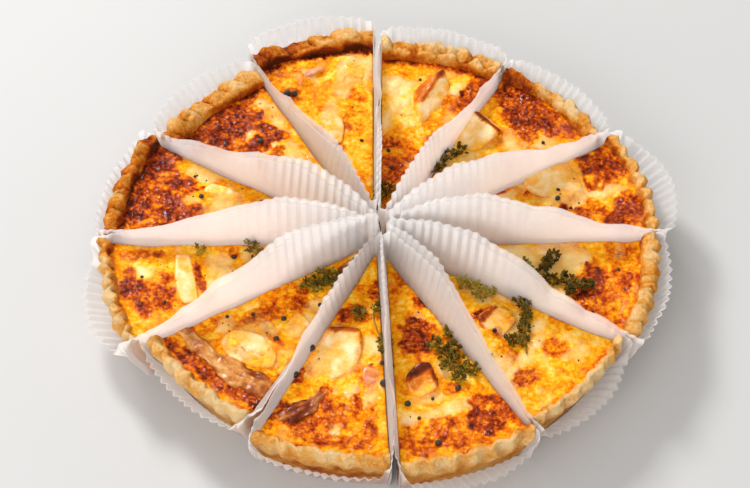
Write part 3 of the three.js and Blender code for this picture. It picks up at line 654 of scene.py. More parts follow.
def make_custard(slice_, material):
    """One slice's custard: its baked top as a fan of rows, closed by two cut faces and an underside."""
    inset = HALF_ANGLE - CUT_INSET
    angles = np.linspace(inset, -inset, ACROSS_STEPS + 1)[:, None]
    reach = max(CUSTARD_RADIUS + TUCK_IN_WALL, RIM_RADIUS - RIMS[slice_.number - 1]["width"] + TUCK_IN_RIM)
    radii = np.linspace(0.3, reach, RADIAL_STEPS + 1)[None, :]
    side, out = radii * np.sin(angles), radii * np.cos(angles)
    height, browned, pale = custard_relief(slice_, side, out)
    edge = 1 - smooth_step(0, CUT_ROUNDING, (HALF_ANGLE - np.abs(angles)) * radii)
    height = height - CUT_DROP * edge
    top = np.stack([side, out, height], axis=-1)
    # the two cut faces and the underside, as rows below the outermost columns of the top
    foot = STAND + CRUST_FLOOR + FOOT_GAP
    foot_radius = BASE_RADIUS - CRUST_FOOT_WIDTH - FOOT_GAP
    shares = np.linspace(0, 1, CUT_ROWS + 1)[1:, None]
    strips = []
    for end in (0, -1):
        inner = np.minimum(radii[0], foot_radius + (reach - foot_radius) * (1 - shares))
        level = top[end][None, :, 2] * (1 - shares) + foot * shares
        spots = np.stack([radii[0] + 0 * shares, level, np.full_like(level, slice_.number)], axis=-1)
        rough = 0.12 * layered(spots, 3, 20)
        angle = angles[end, 0]
        strips.append(np.stack([inner * np.sin(angle) + rough, inner * np.cos(angle), level], axis=-1))
    rows = np.concatenate([strips[0][::-1], top, strips[1]], axis=0)
    count, columns = rows.shape[:2]
    browned = np.pad(browned, ((CUT_ROWS, CUT_ROWS), (0, 0)), constant_values=CUT_BROWNED)
    pale = np.pad(pale, ((CUT_ROWS, CUT_ROWS), (0, 0)), constant_values=CUT_PALE)
    faces = grid_faces(count, columns, closed_rows=True).tolist()
    faces.append([i * columns + columns - 1 for i in range(count)])
    faces.append([i * columns for i in reversed(range(count))])
    piece = make_piece(
        "custard_" + slice_.label, slice_.place(rows), faces, material, browned=browned, pale=pale
    )
    seat(piece, "filling", "filling_" + slice_.label)


custard = make_custard_material()
for slice_ in SLICES:
    make_custard(slice_, custard)

# ---- The potato pieces ----------------------------------------------------------------------
# Waxy potato, boiled, cut in chunks and wedges and baked half sunk in the custard. Its cut faces
# stay pale and smooth, its highest edges are seared and custard creeps up round it.
# Each chunk: its corners as side, out and height over the custard, then the seared streaks on it as
# side and out of their two ends, half width and strength. It is sunk SINK into the custard.
POTATOES = {
    "01a": (((9, 103, 0.2), (12, 91, 0.6), (19, 86, 0.3), (24, 97, 0.4), (21, 104, 0.3), (16, 96, 1.3)), ()),
    "01b": (
        ((-9, 51, 0.8), (-9, 60, 1.2), (-3, 74, 0.4), (3, 75, 0.6), (3, 62, 1.8), (-1, 50, 0.5)),
        ((-9.5, 52, -8, 64, 1.8, 0.55),),
    ),
    "02a": (
        (
            (-17, 80, 0.1), (-12, 92, 0.4), (-3, 99, 0.4), (-4, 80, 1.2), (4, 66, 0.3), (0, 62, 0.1),
            (-12, 70, 0.2),
        ),
        (),
    ),
    "02b": (
        (
            (3.5, 101, 7.5), (-3, 76, 5.5), (-7.5, 91, 0.8), (-8.5, 84, 0.5), (-4, 73, 0.3), (4, 104, 0.5),
            (10, 92, 0.6), (7, 79, 0.6), (1, 66, 0.5),
        ),
        (
            (-3, 97, -6, 80, 6, 0.42), (3, 100, -2, 79, 2, 0.5), (3, 100, 1.5, 95, 2.4, 0.8),
            (-4, 88, -5, 80, 2.5, 0.5),
        ),
    ),
    "03": (
        (
            (-24, 82, 4.0), (-5, 81, 4.0), (-23, 86, 0.5), (-5, 85, 0.5), (-24, 64, 0.4), (-5, 66, 0.4),
            (-14, 60, 0.2),
        ),
        ((-24, 82, -6, 81, 1.8, 0.75),),
    ),
    "04": (
        (
            (-24, 88, 0.8), (-6, 90, 1.1), (0, 80, 1.1), (-6, 66, 1.3), (-12, 62, 1.2), (-19, 64, 0.8),
            (-22, 76, 1.8),
        ),
        ((-9, 62.5, -6, 64, 1.8, 0.6),),
    ),
    "06": (
        ((-9, 70, 0.7), (5, 72, 0.5), (8, 62, 1.1), (3, 56, 2.6), (-7, 57, 2.6), (-10, 64, 1.5)),
        ((-6, 58.5, 4, 58, 2.5, 0.75), (5, 59, 7, 63, 2, 0.4), (-8, 66, -6, 69, 3, 0.3)),
    ),
    "07": (
        (
            (0, 76, 1.6), (0.5, 64, 4.6), (5, 62, 4.4), (13, 66, 2.4), (14.5, 74, 0.9), (11, 78.5, 0.3),
            (5, 78, 1.2),
        ),
        ((1, 64.5, 12, 66.5, 4, 0.95), (0, 74, 1, 66, 2.5, 0.8), (3, 70, 11, 71, 4, 0.34)),
    ),
    "08": (
        (
            (-6, 66, 1.8), (3, 74, 1.2), (13, 72, 0.9), (16, 61, 0.7), (12, 45, 2.8), (-3, 43.5, 3.5),
            (-6, 53, 2.7),
        ),
        (
            (-2, 45.6, 11, 47, 2.2, 0.75), (-5, 52, -3, 46, 1.8, 0.5), (-5, 66, -5, 52, 2.5, 0.22),
            (12, 48, 14, 60, 2.5, 0.25),
        ),
    ),
    "09a": (
        (
            (-19, 83, 0.4), (-12, 90, 1.4), (2, 94, 1.4), (11, 90, 0.6), (10, 80, 1.3), (-3, 74, 2.1),
            (-15, 77, 1.2),
        ),
        ((-12, 88, 8, 89, 4.5, 0.25), (-8, 84, 2, 85, 3, 0.16)),
    ),
    "09b": (((-14, 66, 0.6), (-4, 64, 0.4), (-3, 53, 1.5), (-13, 54, 1.7)), ()),
    "10": (
        ((-15, 77, 1.2), (14, 75, 1.2), (16, 82, 1.2), (-14, 85, 0.9), (0, 86, 1.3), (-1, 76, 2.4)),
        ((-7, 75.6, 7, 74.8, 1.5, 0.7), (-14, 77, -8, 76, 1.5, 0.35)),
    ),
    "11": (((-2, 74, 0.5), (6, 80, 0.7), (14, 76, 0.7), (12, 64, 1.3), (4, 62, 0.9), (-1, 66, 0.6)), ()),
    "12": (
        ((2, 68, 0.9), (10, 72, 0.7), (13, 60, 1.9), (8, 52, 1.3), (3, 56, 1.1)),
        ((2, 67, 4, 69, 2, 0.5),),
    ),
}
SINK = 3.0
CHUNK_GAP = 0.3  # between the level of the custard and that of a corner at height 0
CHUNK_TAPER = 0.88  # size of its foot against its top
CHUNK_ROWS, CHUNK_COLUMNS = 36, 72


def hull_planes(points):
    """Outward unit normals and distances of the faces of the smallest convex body round the points."""
    middle = points.mean(axis=0)
    planes = []
    for a, b, c in itertools.combinations(points - middle, 3):
        normal = np.cross(b - a, c - a)
        size = np.linalg.norm(normal)
        if size < 1e-6:
            continue
        normal = normal / size
        reach = normal @ a
        normal, reach = (normal, reach) if reach > 0 else (-normal, -reach)
        if ((points - middle) @ normal <= reach + 1e-6).all() and reach > 1e-3:
            if not any(np.allclose(normal, n, atol=1e-4) for n, _ in planes):
                planes.append((normal, reach))
    return middle, np.array([n for n, _ in planes]), np.array([r for _, r in planes])


def ball(rows, columns):
    """Unit rays over a ball and the faces between them, with one point at each pole."""
    polar = np.linspace(0, math.pi, rows + 1)[1:-1, None]
    turn = np.linspace(0, 2 * math.pi, columns, endpoint=False)[None, :]
    rays = [np.sin(polar) * np.cos(turn), np.sin(polar) * np.sin(turn), np.cos(polar) + 0 * turn]
    rays = np.vstack([np.stack(rays, axis=-1).reshape(-1, 3), [[0, 0, 1], [0, 0, -1]]])
    count = (rows - 1) * columns
    faces = grid_faces(rows - 1, columns, closed_columns=True)[:, ::-1].tolist()
    for j in range(columns):
        following = (j + 1) % columns
        faces.append([count, j, following])
        faces.append([count + 1, count - columns + following, count - columns + j])
    return rays, faces


def cut_chunk(corners, crisp, rough, seed):
    """A body with flat cut faces and edges that are the sharper the more crisp it is, as points, faces and
    how near each point is to its cut sides."""
    corners = np.array(corners, float)
    middle, normals, reach = hull_planes(corners)
    rays, faces = ball(CHUNK_ROWS, CHUNK_COLUMNS)
    rays = rays * (corners.max(axis=0) - corners.min(axis=0))  # spread over a flat body rather than a ball
    rays /= np.linalg.norm(rays, axis=1, keepdims=True)
    gauge = (np.maximum(0, rays @ normals.T / reach) ** crisp).sum(axis=1) ** (1 / crisp)
    points = middle + rays / gauge[:, None]
    points += rays * (rough * layered(points + 13.0 * seed, 5, seed))[:, None]
    upright = np.abs(normals[:, 2]) < 0.75
    brink = ((points - middle) @ normals[upright].T / reach[upright]).max(axis=1)  # 1 at the cut sides
    return points, faces, brink


def seat_chunk(slice_, corners):
    """The corners of a chunk over the custard there, with its sunk foot drawn in a little."""
    corners = np.array(corners, float)
    middle = corners[:, :2].mean(axis=0)
    level = float(custard_height(slice_, *middle)) + CHUNK_GAP
    foot = corners.copy()
    foot[:, :2] = middle + CHUNK_TAPER * (corners[:, :2] - middle)
    foot[:, 2] = -SINK
    both = np.vstack([corners, foot])
    both[:, 2] += level
    return both, level


def seared(points, streaks, seed):
    """How seared each point of a chunk is, from 0 to 1."""
    level = np.zeros(len(points))
    flat = points[:, :2]
    for side, out, end_side, end_out, radius, strength in streaks:
        start, run = np.array([side, out]), np.array([end_side - side, end_out - out])
        share = np.clip((flat - start) @ run / max(run @ run, 1e-6), 0, 1)
        away = np.linalg.norm(flat - start - share[:, None] * run, axis=1) / radius
        away = away + 0.3 * lumps(points, 2.2, seed) + 0.2 * lumps(points, 5, seed + 1)
        level = np.maximum(level, strength * (1 - smooth_step(0.3, 1.3, away)))
    return level


def make_potato_material():
    """Boiled waxy potato: dense, moist starch, IOR about 1.45. Cream to amber where cut, in clouds 9 mm
    wide with a 2 mm grain, amber to dark brown where seared, and custard where that crept over it."""
    material, tree, surface = new_material("boiled_potato")
    place = add_node(tree, "ShaderNodeTexCoord").outputs["Object"]
    sear = add_node(tree, "ShaderNodeAttribute", {"attribute_name": "sear"}).outputs["Fac"]
    covered = add_node(tree, "ShaderNodeAttribute", {"attribute_name": "covered"}).outputs["Fac"]
    grain = add_node(tree, "ShaderNodeTexNoise", Vector=place, Scale=1 / 0.0022, Detail=4.0, Roughness=0.6)
    cloud = add_node(tree, "ShaderNodeTexNoise", Vector=place, Scale=1 / 0.009, Detail=4.0, Roughness=0.6)
    grain, cloud = grain.outputs["Fac"], cloud.outputs["Fac"]
    flesh = add_node(
        tree, "ShaderNodeValToRGB", {"stops": (
            (0.34, "#f8dcae"), (0.5, "#f1c47c"), (0.64, "#eba83e"),
        )}, Fac=cloud,
    ).outputs["Color"]
    level = add_node(tree, "ShaderNodeMath", {"operation": "MULTIPLY_ADD"}, _0=grain, _1=0.5, _2=sear)
    level = add_node(tree, "ShaderNodeMapRange", Value=level.outputs[0], From_Min=0.32, From_Max=1.25)
    brown = add_node(
        tree, "ShaderNodeValToRGB", {"stops": (
            (0.0, "#e2992c"), (0.25, "#d27414"), (0.5, "#ab4b0c"), (0.75, "#752a07"), (1.0, "#401405"),
        )}, Fac=level.outputs[0],
    ).outputs["Color"]
    share = add_node(tree, "ShaderNodeMapRange", Value=level.outputs[0], From_Min=0.0, From_Max=0.3)
    tint = add_node(tree, "ShaderNodeMix", {"data_type": "RGBA"}, Factor=share.outputs[0], _6=flesh, _7=brown)
    glaze = add_node(tree, "ShaderNodeMath", {"operation": "MULTIPLY_ADD"}, _0=cloud, _1=1.5, _2=covered)
    glaze = add_node(
        tree, "ShaderNodeMath", {"operation": "MULTIPLY_ADD"}, _0=grain, _1=0.8, _2=glaze.outputs[0]
    )
    glaze = add_node(tree, "ShaderNodeMapRange", Value=glaze.outputs[0], From_Min=1.3, From_Max=2.0)
    film, height, _ = custard_skin(tree, sear, 0.35)
    skin = add_node(
        tree, "ShaderNodeMix", {"data_type": "RGBA"}, Factor=glaze.outputs[0], _6=tint.outputs[2], _7=film
    )
    bump = add_node(tree, "ShaderNodeBump", Strength=0.3, Distance=0.0008, Height=height)
    shader = add_node(
        tree, "ShaderNodeBsdfPrincipled", Base_Color=skin.outputs[2], Roughness=0.4, IOR=1.45,
        Normal=bump.outputs[0], Specular_IOR_Level=0.08, Coat_Weight=0.15, Coat_Roughness=0.1,
    )
    tree.links.new(shader.outputs[0], surface)
    return material


def make_chunk(name, node, slot, slice_, corners, streaks, material, crisp, rough, film, seed):
    """A chunk baked into the custard, seared in streaks and with a film of custard up its sides."""
    both, level = seat_chunk(slice_, corners)
    points, faces, brink = cut_chunk(both, crisp, rough, seed)
    over = points[:, 2] - level
    ragged = 1.1 * lumps(points, 4, seed + 3) + 0.5 * lumps(points, 1.6, seed + 4)
    covered = 1 - smooth_step(0.0, 2.2, over - ragged)
    covered = film * np.maximum(covered, 0.85 * smooth_step(0.68, 0.98, brink + 0.14 * ragged))
    sear = seared(points, streaks, seed + 5)
    piece = make_piece(name, slice_.place(points), faces, material, sear=sear, covered=covered)
    seat(piece, slot, node)


boiled_potato = make_potato_material()
for seed, (label, (corners, streaks)) in enumerate(POTATOES.items()):
    make_chunk(
        "boiled_potato_" + label, "potato_" + label, "potato", SLICES[int(label[:2]) - 1], corners, streaks,
        boiled_potato, crisp=12 if streaks else 6, rough=0.4, film=1.0, seed=seed + 40,
    )

# ---- The bacon ------------------------------------------------------------------------------
# Two thick-cut lardons of boiled bacon, laid in the custard before it was baked. They are pink with
# a paler streak of fat, and the heat reddened their edges.
# Each lardon as each chunk of potato.
BACON = {
    "01": (
        ((-14, 92.5, 0.8), (-13.5, 96, 1.2), (-6, 95, 1.8), (1, 102, 0.8), (4, 99, 1.2), (-4, 98.5, 1.8)),
        ((-14, 93, -12, 94, 3, 0.3),),
    ),
    "08": (
        ((-16, 61, 1.2), (-10, 60, 1.5), (-7, 66, 1.3), (-9, 72.5, 0.9), (-14, 74, 0.6), (-16.5, 68, 1.0)),
        ((-16, 62, -10, 61, 3, 0.75), (-15, 68, -10, 66, 2, 0.35), (-8, 66, -9, 71, 1.5, 0.4)),
    ),
}


def make_bacon_material():
    """Boiled bacon: wet muscle and fat, IOR about 1.4, glossy. Pink and cream in streaks 6 mm wide with
    fibres 1.5 mm apart, brick red where it fried."""
    material, tree, surface = new_material("boiled_bacon")
    place = add_node(tree, "ShaderNodeTexCoord").outputs["Object"]
    sear = add_node(tree, "ShaderNodeAttribute", {"attribute_name": "sear"}).outputs["Fac"]
    covered = add_node(tree, "ShaderNodeAttribute", {"attribute_name": "covered"}).outputs["Fac"]
    fibre = add_node(
        tree, "ShaderNodeTexNoise", Vector=place, Scale=1 / 0.0015, Detail=4.0, Roughness=0.6, Distortion=0.5
    )
    fibre = fibre.outputs["Fac"]
    streak = add_node(tree, "ShaderNodeTexNoise", Vector=place, Scale=1 / 0.006, Detail=3.0, Roughness=0.5)
    meat = add_node(
        tree, "ShaderNodeValToRGB", {"stops": (
            (0.3, "#eec29c"), (0.5, "#e09a78"), (0.7, "#bf6a50"),
        )}, Fac=streak.outputs["Fac"],
    ).outputs["Color"]
    level = add_node(tree, "ShaderNodeMath", {"operation": "MULTIPLY_ADD"}, _0=fibre, _1=0.5, _2=sear)
    level = add_node(tree, "ShaderNodeMapRange", Value=level.outputs[0], From_Min=0.35, From_Max=1.2)
    brown = add_node(
        tree, "ShaderNodeValToRGB", {"stops": (
            (0.0, "#d2874e"), (0.4, "#c45323"), (0.8, "#982e14"), (1.0, "#631e0d"),
        )}, Fac=level.outputs[0],
    ).outputs["Color"]
    share = add_node(tree, "ShaderNodeMapRange", Value=level.outputs[0], From_Min=0.0, From_Max=0.3)
    tint = add_node(tree, "ShaderNodeMix", {"data_type": "RGBA"}, Factor=share.outputs[0], _6=meat, _7=brown)
    glaze = add_node(tree, "ShaderNodeMath", {"operation": "MULTIPLY_ADD"}, _0=fibre, _1=0.9, _2=covered)
    glaze = add_node(tree, "ShaderNodeMapRange", Value=glaze.outputs[0], From_Min=0.8, From_Max=1.2)
    skin = add_node(
        tree, "ShaderNodeMix", {"data_type": "RGBA"}, Factor=glaze.outputs[0], _6=tint.outputs[2],
        _7=colour("#dc9b2e"),
    )
    bump = add_node(tree, "ShaderNodeBump", Strength=0.3, Distance=0.0005, Height=fibre)
    shader = add_node(
        tree, "ShaderNodeBsdfPrincipled", Base_Color=skin.outputs[2], Roughness=0.3, IOR=1.4,
        Normal=bump.outputs[0], Specular_IOR_Level=0.2, Coat_Weight=0.3, Coat_Roughness=0.1,
    )
    tree.links.new(shader.outputs[0], surface)
    return material


boiled_bacon = make_bacon_material()
for seed, (label, (corners, streaks)) in enumerate(BACON.items()):
    make_chunk(
        "lardon_" + label, "bacon_" + label, "bacon", SLICES[int(label) - 1], corners, streaks, boiled_bacon,
        crisp=6, rough=0.5, film=0.55, seed=seed + 70,
    )

# ---- The browned onion ----------------------------------------------------------------------
# Strips of onion laid on the custard, the longest along the crust. They went tan and glassy in the
# oven, and their thin edges browned and shrivelled.
# Each strip: its slice, points of its line as side, out and height, its widths there, and how far it
# browned at its start and over the rest.
ONIONS = {
    "onion_09": (
        9,
        (
            (-28, 91.5, 0.6), (-18, 94.5, 1.0), (-8, 96.8, 1.2), (4, 98.6, 1.2), (14, 98, 1.1),
            (24, 97.6, 1.0), (30.5, 97, 0.7),
        ),
        (9, 13.5, 12.5, 10, 8.5, 7.5, 4), (0.4, 0.0),
    ),
    "onion_09_tip": (
        9, ((-2.2, 9, 0.4), (-2, 15, 1.0), (-0.5, 21, 1.0), (1, 26, 0.4)), (2.5, 5, 6, 3.5), (0.4, 0.4),
    ),
    "onion_08": (
        8, ((5, 79, 0.3), (10, 87, 0.9), (16, 94, 1.2), (22, 99, 0.6)), (3, 8.5, 10, 6), (0.1, 0.35),
    ),
}
ONION_STEP = 0.5  # of its mesh along a strip
ONION_SIDES = 48  # and round it
ONION_NOISE_LEVEL = 900.0  # sets the noise of the onions apart from that of the custard


def make_onion_material():
    """Roasted onion: wet cell walls, IOR about 1.4, glossy. Tan, mottled by veins 2.4 mm apart, toffee
    brown at its edges, and darker in its wrinkles as painted shade."""
    material, tree, surface = new_material("roasted_onion")
    place = add_node(tree, "ShaderNodeTexCoord").outputs["Object"]
    sear = add_node(tree, "ShaderNodeAttribute", {"attribute_name": "sear"}).outputs["Fac"]
    vein = add_node(tree, "ShaderNodeTexNoise", Vector=place, Scale=1 / 0.0024, Detail=4.0, Roughness=0.6)
    vein = vein.outputs["Fac"]
    level = add_node(tree, "ShaderNodeMath", {"operation": "MULTIPLY_ADD"}, _0=vein, _1=1.1, _2=sear)
    level = add_node(tree, "ShaderNodeMapRange", Value=level.outputs[0], From_Min=0.35, From_Max=1.6)
    tint = add_node(
        tree, "ShaderNodeValToRGB", {"stops": (
            (0.0, "#dda970"), (0.25, "#c4813f"), (0.5, "#9c5424"), (0.75, "#702c10"), (1.0, "#401506"),
        )}, Fac=level.outputs[0],
    ).outputs["Color"]
    bump = add_node(tree, "ShaderNodeBump", Strength=0.3, Distance=0.0005, Height=vein)
    shader = add_node(
        tree, "ShaderNodeBsdfPrincipled", Base_Color=tint, Roughness=0.35, IOR=1.4, Normal=bump.outputs[0],
        Specular_IOR_Level=0.1, Coat_Weight=0.14, Coat_Roughness=0.12,
    )
    tree.links.new(shader.outputs[0], surface)
    return material


def make_onion(name, number, stations, widths, browned, material):
    """A flat strip that follows the custard, wrinkled along its length and curled down at its edges."""
    slice_ = SLICES[number - 1]
    line = rounded(stations, ONION_STEP)
    share = np.linspace(0, 1, len(line))
    width = np.interp(share, np.linspace(0, 1, len(widths)), widths)
    ahead = np.gradient(line[:, :2], axis=0)
    ahead /= np.linalg.norm(ahead, axis=1, keepdims=True)
    beside = np.stack([-ahead[:, 1], ahead[:, 0]], axis=1)
    turn = np.linspace(0, 2 * math.pi, ONION_SIDES, endpoint=False)
    across, up = np.cos(turn), np.sin(turn)
    flat = np.stack([line[:, :1] + 0 * across, line[:, 1:2] + 0 * across], axis=-1)
    flat = flat + beside[:, None, :] * (0.5 * width[:, None] * across)[..., None]
    spots = np.concatenate([flat, np.full((*flat.shape[:2], 1), ONION_NOISE_LEVEL)], axis=-1)
    ragged = (1.6 * lumps(spots, 6, 61) + 0.7 * lumps(spots, 2.5, 64)) * np.abs(across)
    flat = flat + beside[:, None, :] * ragged[..., None]
    # wrinkles run along the strip: the noise is read four times as slowly that way
    run = 0.25 * ONION_STEP * np.arange(len(line))[:, None] + 0 * across
    wrinkles = np.stack([run, 0.5 * width[:, None] * across, 0 * run + ONION_NOISE_LEVEL], axis=-1)
    wrinkle = 0.5 * lumps(wrinkles, 1.7, 66) + 0.3 * lumps(wrinkles, 0.9, 67)
    curl = 0.2 - 0.5 * np.abs(across) ** 4 + 0.6 * lumps(spots, 7, 62) + 0.35 * lumps(spots, 3, 65) + wrinkle
    level = custard_relief(slice_, flat[..., 0], flat[..., 1])[0] + line[:, 2:3] * 0.5 + curl
    level = level + 0.2 * up * (1 - 0.5 * across**2)
    level = level - (1 - np.sin(np.pi * share)[:, None] ** 0.3)  # its two ends go under the custard
    points = np.concatenate([flat, level[..., None]], axis=-1)
    sear = np.interp(share, (0, 0.4), browned)[:, None] + 0.1 + 0.35 * np.abs(across) ** 5
    # lighter on the wrinkles' ridges and darker in their valleys: painted highlight and painted shade
    sear = sear + 0.3 * lumps(spots, 4, 63) - 0.35 * wrinkle
    rows, columns = level.shape
    faces = grid_faces(rows, columns, closed_columns=True).tolist()
    faces += [list(range(columns))[::-1], [(rows - 1) * columns + i for i in range(columns)]]
    piece = make_piece("strip_" + name, slice_.place(points), faces, material, sear=sear)
    nodes = [name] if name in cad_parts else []
    seat(piece, "onion", *nodes)


roasted_onion = make_onion_material()
for name, strip in ONIONS.items():
    make_onion(name, *strip, roasted_onion)

# ---- The pepper -----------------------------------------------------------------------------
# Whole black peppercorns and large bits of them, dropped on the custard and baked in a third deep.
# The skin of a dried peppercorn is nearly black and deeply wrinkled.
# On each slice: side, out and radius of each corn.
PEPPERCORNS = (
    ((-18.6, 88.2, 1.75), (-15.3, 87.4, 1.6), (-9, 53, 1.0), (8, 50, 0.9)),
    ((-10, 49, 1.0), (-6, 39, 1.0), (-7, 97, 0.8)),
    ((6, 66, 0.9), (12, 92, 0.9), (3, 48, 0.9)),
    ((-7, 77.5, 1.0), (-2, 75.5, 1.3), (4, 80, 0.9)),
    ((17, 92, 0.8), (5, 52, 0.9), (-9, 99, 0.8)),
    ((2, 72, 1.2), (4, 67, 1.1), (14, 74, 0.8)),
    ((-7, 79, 1.4), (16.5, 80, 1.5), (14, 88.5, 0.9), (10.5, 103.6, 1.5), (5, 80, 0.8)),
    ((-18.5, 71, 1.75), (-15.5, 60.3, 1.1), (-20, 60.5, 1.1), (16.3, 59, 1.75), (20, 74, 1.6)),
    ((-7, 71, 1.3), (-1.5, 61, 1.3), (10, 69, 1.0), (17, 78, 0.9), (-7, 44, 1.0)),
    ((8, 56.5, 1.3), (-9, 92, 0.8), (7, 99, 0.8)),
    ((3, 78, 1.2), (-3, 62, 0.9), (15, 85, 0.8)),
    ((3, 80, 1.5), (-15, 91, 0.8), (8, 97, 0.8)),
)
CORN_RISE = 0.25  # height of a corn's middle over the custard, in its radii
CORN_ROWS, CORN_COLUMNS = 20, 32


def make_pepper_material():
    """Dried black pepper: hard, dull husk, IOR about 1.5, brown-black with paler ridges 0.6 mm apart."""
    material, tree, surface = new_material("black_pepper")
    place = add_node(tree, "ShaderNodeTexCoord").outputs["Object"]
    husk = add_node(tree, "ShaderNodeTexNoise", Vector=place, Scale=1 / 0.0006, Detail=3.0, Roughness=0.6)
    husk = husk.outputs["Fac"]
    tint = add_node(
        tree, "ShaderNodeValToRGB", {"stops": (
            (0.3, "#17120f"), (0.6, "#2c231d"), (0.8, "#5a4a3c"),
        )}, Fac=husk,
    ).outputs["Color"]
    bump = add_node(tree, "ShaderNodeBump", Strength=0.5, Distance=0.0003, Height=husk)
    shader = add_node(
        tree, "ShaderNodeBsdfPrincipled", Base_Color=tint, Roughness=0.5, IOR=1.5, Normal=bump.outputs[0]
    )
    tree.links.new(shader.outputs[0], surface)
    return material


def make_peppercorns(slice_, corns, material):
    """The corns of one slice as one piece, each with ridges of its own."""
    rays, rounds = ball(CORN_ROWS, CORN_COLUMNS)
    points, faces = [], []
    for i, (side, out, radius) in enumerate(corns):
        seed = slice_.number + 0.37 * i
        ridge = 0.25 * np.abs(lumps(rays * 1.75 + seed * 11, 0.8, 71))
        ridge = ridge + 0.15 * lumps(rays + seed * 7, 0.9, 72)
        shape = rays * (radius * (1 - ridge))[:, None]
        base = float(custard_relief(slice_, np.array(float(side)), np.array(float(out)))[0])
        points.append(shape + np.array([side, out, base + CORN_RISE * radius]))
        faces += [[index + len(rays) * i for index in face] for face in rounds]
    points = slice_.place(np.vstack(points))
    seat(make_piece("peppercorns_" + slice_.label, points, faces, material), "filling")


black_pepper = make_pepper_material()
for slice_, corns in zip(SLICES, PEPPERCORNS):
    make_peppercorns(slice_, corns, black_pepper)

# ---- The ground pepper ----------------------------------------------------------------------
# Coarse grains from the mill, 0.3 to 1.5 mm, of the same black pepper. They fell on the custard
# before it was baked and stuck to it.
GRAINS_PER_SQUARE_METRE = 5200.0
SMALLEST_GRAIN, LARGEST_GRAIN = 0.3, 0.7  # radius of a grain before it is flattened
GRAIN_TIP_CLEARANCE, GRAIN_RIM_CLEARANCE = 14.0, 3.0
GRAIN_SPREAD = 0.94  # of a slice's width
PATCH_ROWS, PATCH_COLUMNS = 25, 60  # of the sheet that the grains are dropped on


def new_tree(name, output, *inputs):
    """An empty geometry tree with named inputs and one geometry output."""
    tree = bpy.data.node_groups.new(name, "GeometryNodeTree")
    for label, kind in inputs:
        tree.interface.new_socket(label, in_out="INPUT", socket_type="NodeSocket" + kind)
    tree.interface.new_socket(output, in_out="OUTPUT", socket_type="NodeSocketGeometry")
    return tree, add_node(tree, "NodeGroupInput").outputs


def end_tree(tree, geometry, material):
    """Closes a tree: the instances made real, the material set."""
    whole = add_node(tree, "GeometryNodeRealizeInstances", Geometry=geometry)
    painted = add_node(tree, "GeometryNodeSetMaterial", Geometry=whole.outputs[0], Material=material)
    add_node(tree, "NodeGroupOutput", _0=painted.outputs[0])
    return tree


def grow(piece, tree, **values):
    """Runs a tree on a piece and keeps the result as its plain mesh."""
    modifier = piece.modifiers.new("grow", "NODES")
    modifier.node_group = tree
    for item in tree.interface.items_tree:
        if item.in_out == "INPUT" and item.name.replace(" ", "_") in values:
            modifier[item.identifier] = values[item.name.replace(" ", "_")]
    graph = bpy.context.evaluated_depsgraph_get()
    mesh = bpy.data.meshes.new_from_object(piece.evaluated_get(graph))
    piece.modifiers.clear()
    old, piece.data = piece.data, mesh
    mesh.name = piece.name
    bpy.data.meshes.remove(old)


def make_grain_tree():
    """Drops crushed grains on a surface: flattened bits of uneven size, half sunk into it."""
    tree, given = new_tree(
        "milled_grains", "Grains", ("Surface", "Geometry"), ("Number per Square Metre", "Float"),
        ("Smallest", "Float"), ("Largest", "Float"), ("Seed", "Int"), ("Material", "Material"),
    )
    drops = add_node(
        tree, "GeometryNodeDistributePointsOnFaces", {"distribute_method": "RANDOM"}, Mesh=given["Surface"],
        Density=given["Number per Square Metre"], Seed=given["Seed"],
    )
    grain = add_node(tree, "GeometryNodeMeshIcoSphere", Radius=1.0, Subdivisions=1)
    turned = add_node(
        tree, "FunctionNodeRandomValue", {"data_type": "FLOAT_VECTOR"}, _0=(0, 0, 0),
        _1=(math.tau, math.tau, math.tau), Seed=given["Seed"],
    )
    size = add_node(
        tree, "FunctionNodeRandomValue", {"data_type": "FLOAT"}, _2=given["Smallest"], _3=given["Largest"],
        Seed=given["Seed"],
    )
    shape = add_node(
        tree, "FunctionNodeRandomValue", {"data_type": "FLOAT_VECTOR"}, _0=(0.5, 0.5, 0.4),
        _1=(1.1, 1.1, 0.8), Seed=3,
    )
    scale = add_node(
        tree, "ShaderNodeVectorMath", {"operation": "SCALE"}, _0=shape.outputs[0], Scale=size.outputs[1]
    )
    grains = add_node(
        tree, "GeometryNodeInstanceOnPoints", Points=drops.outputs["Points"], Instance=grain.outputs[0],
        Rotation=turned.outputs[0], Scale=scale.outputs[0],
    )
    return end_tree(tree, grains.outputs[0], given["Material"])


def top_patch(name, slice_, material):
    """The open top of a slice as a loose sheet for things to be dropped on."""
    angles = np.linspace(HALF_ANGLE * GRAIN_SPREAD, -HALF_ANGLE * GRAIN_SPREAD, PATCH_ROWS)[:, None]
    radii = np.linspace(GRAIN_TIP_CLEARANCE, CUSTARD_RADIUS - GRAIN_RIM_CLEARANCE, PATCH_COLUMNS)[None, :]
    side, out = radii * np.sin(angles), radii * np.cos(angles)
    points = np.stack([side, out, custard_relief(slice_, side, out)[0]], axis=-1)
    return make_piece(name, slice_.place(points), grid_faces(PATCH_ROWS, PATCH_COLUMNS), material)


grain_tree = make_grain_tree()
for slice_ in SLICES:
    grains = top_patch("ground_pepper_" + slice_.label, slice_, black_pepper)
    grow(
        grains, grain_tree, Number_per_Square_Metre=GRAINS_PER_SQUARE_METRE, Smallest=SMALLEST_GRAIN * MM,
        Largest=LARGEST_GRAIN * MM, Seed=slice_.number, Material=black_pepper,
    )
    seat(grains, "filling")

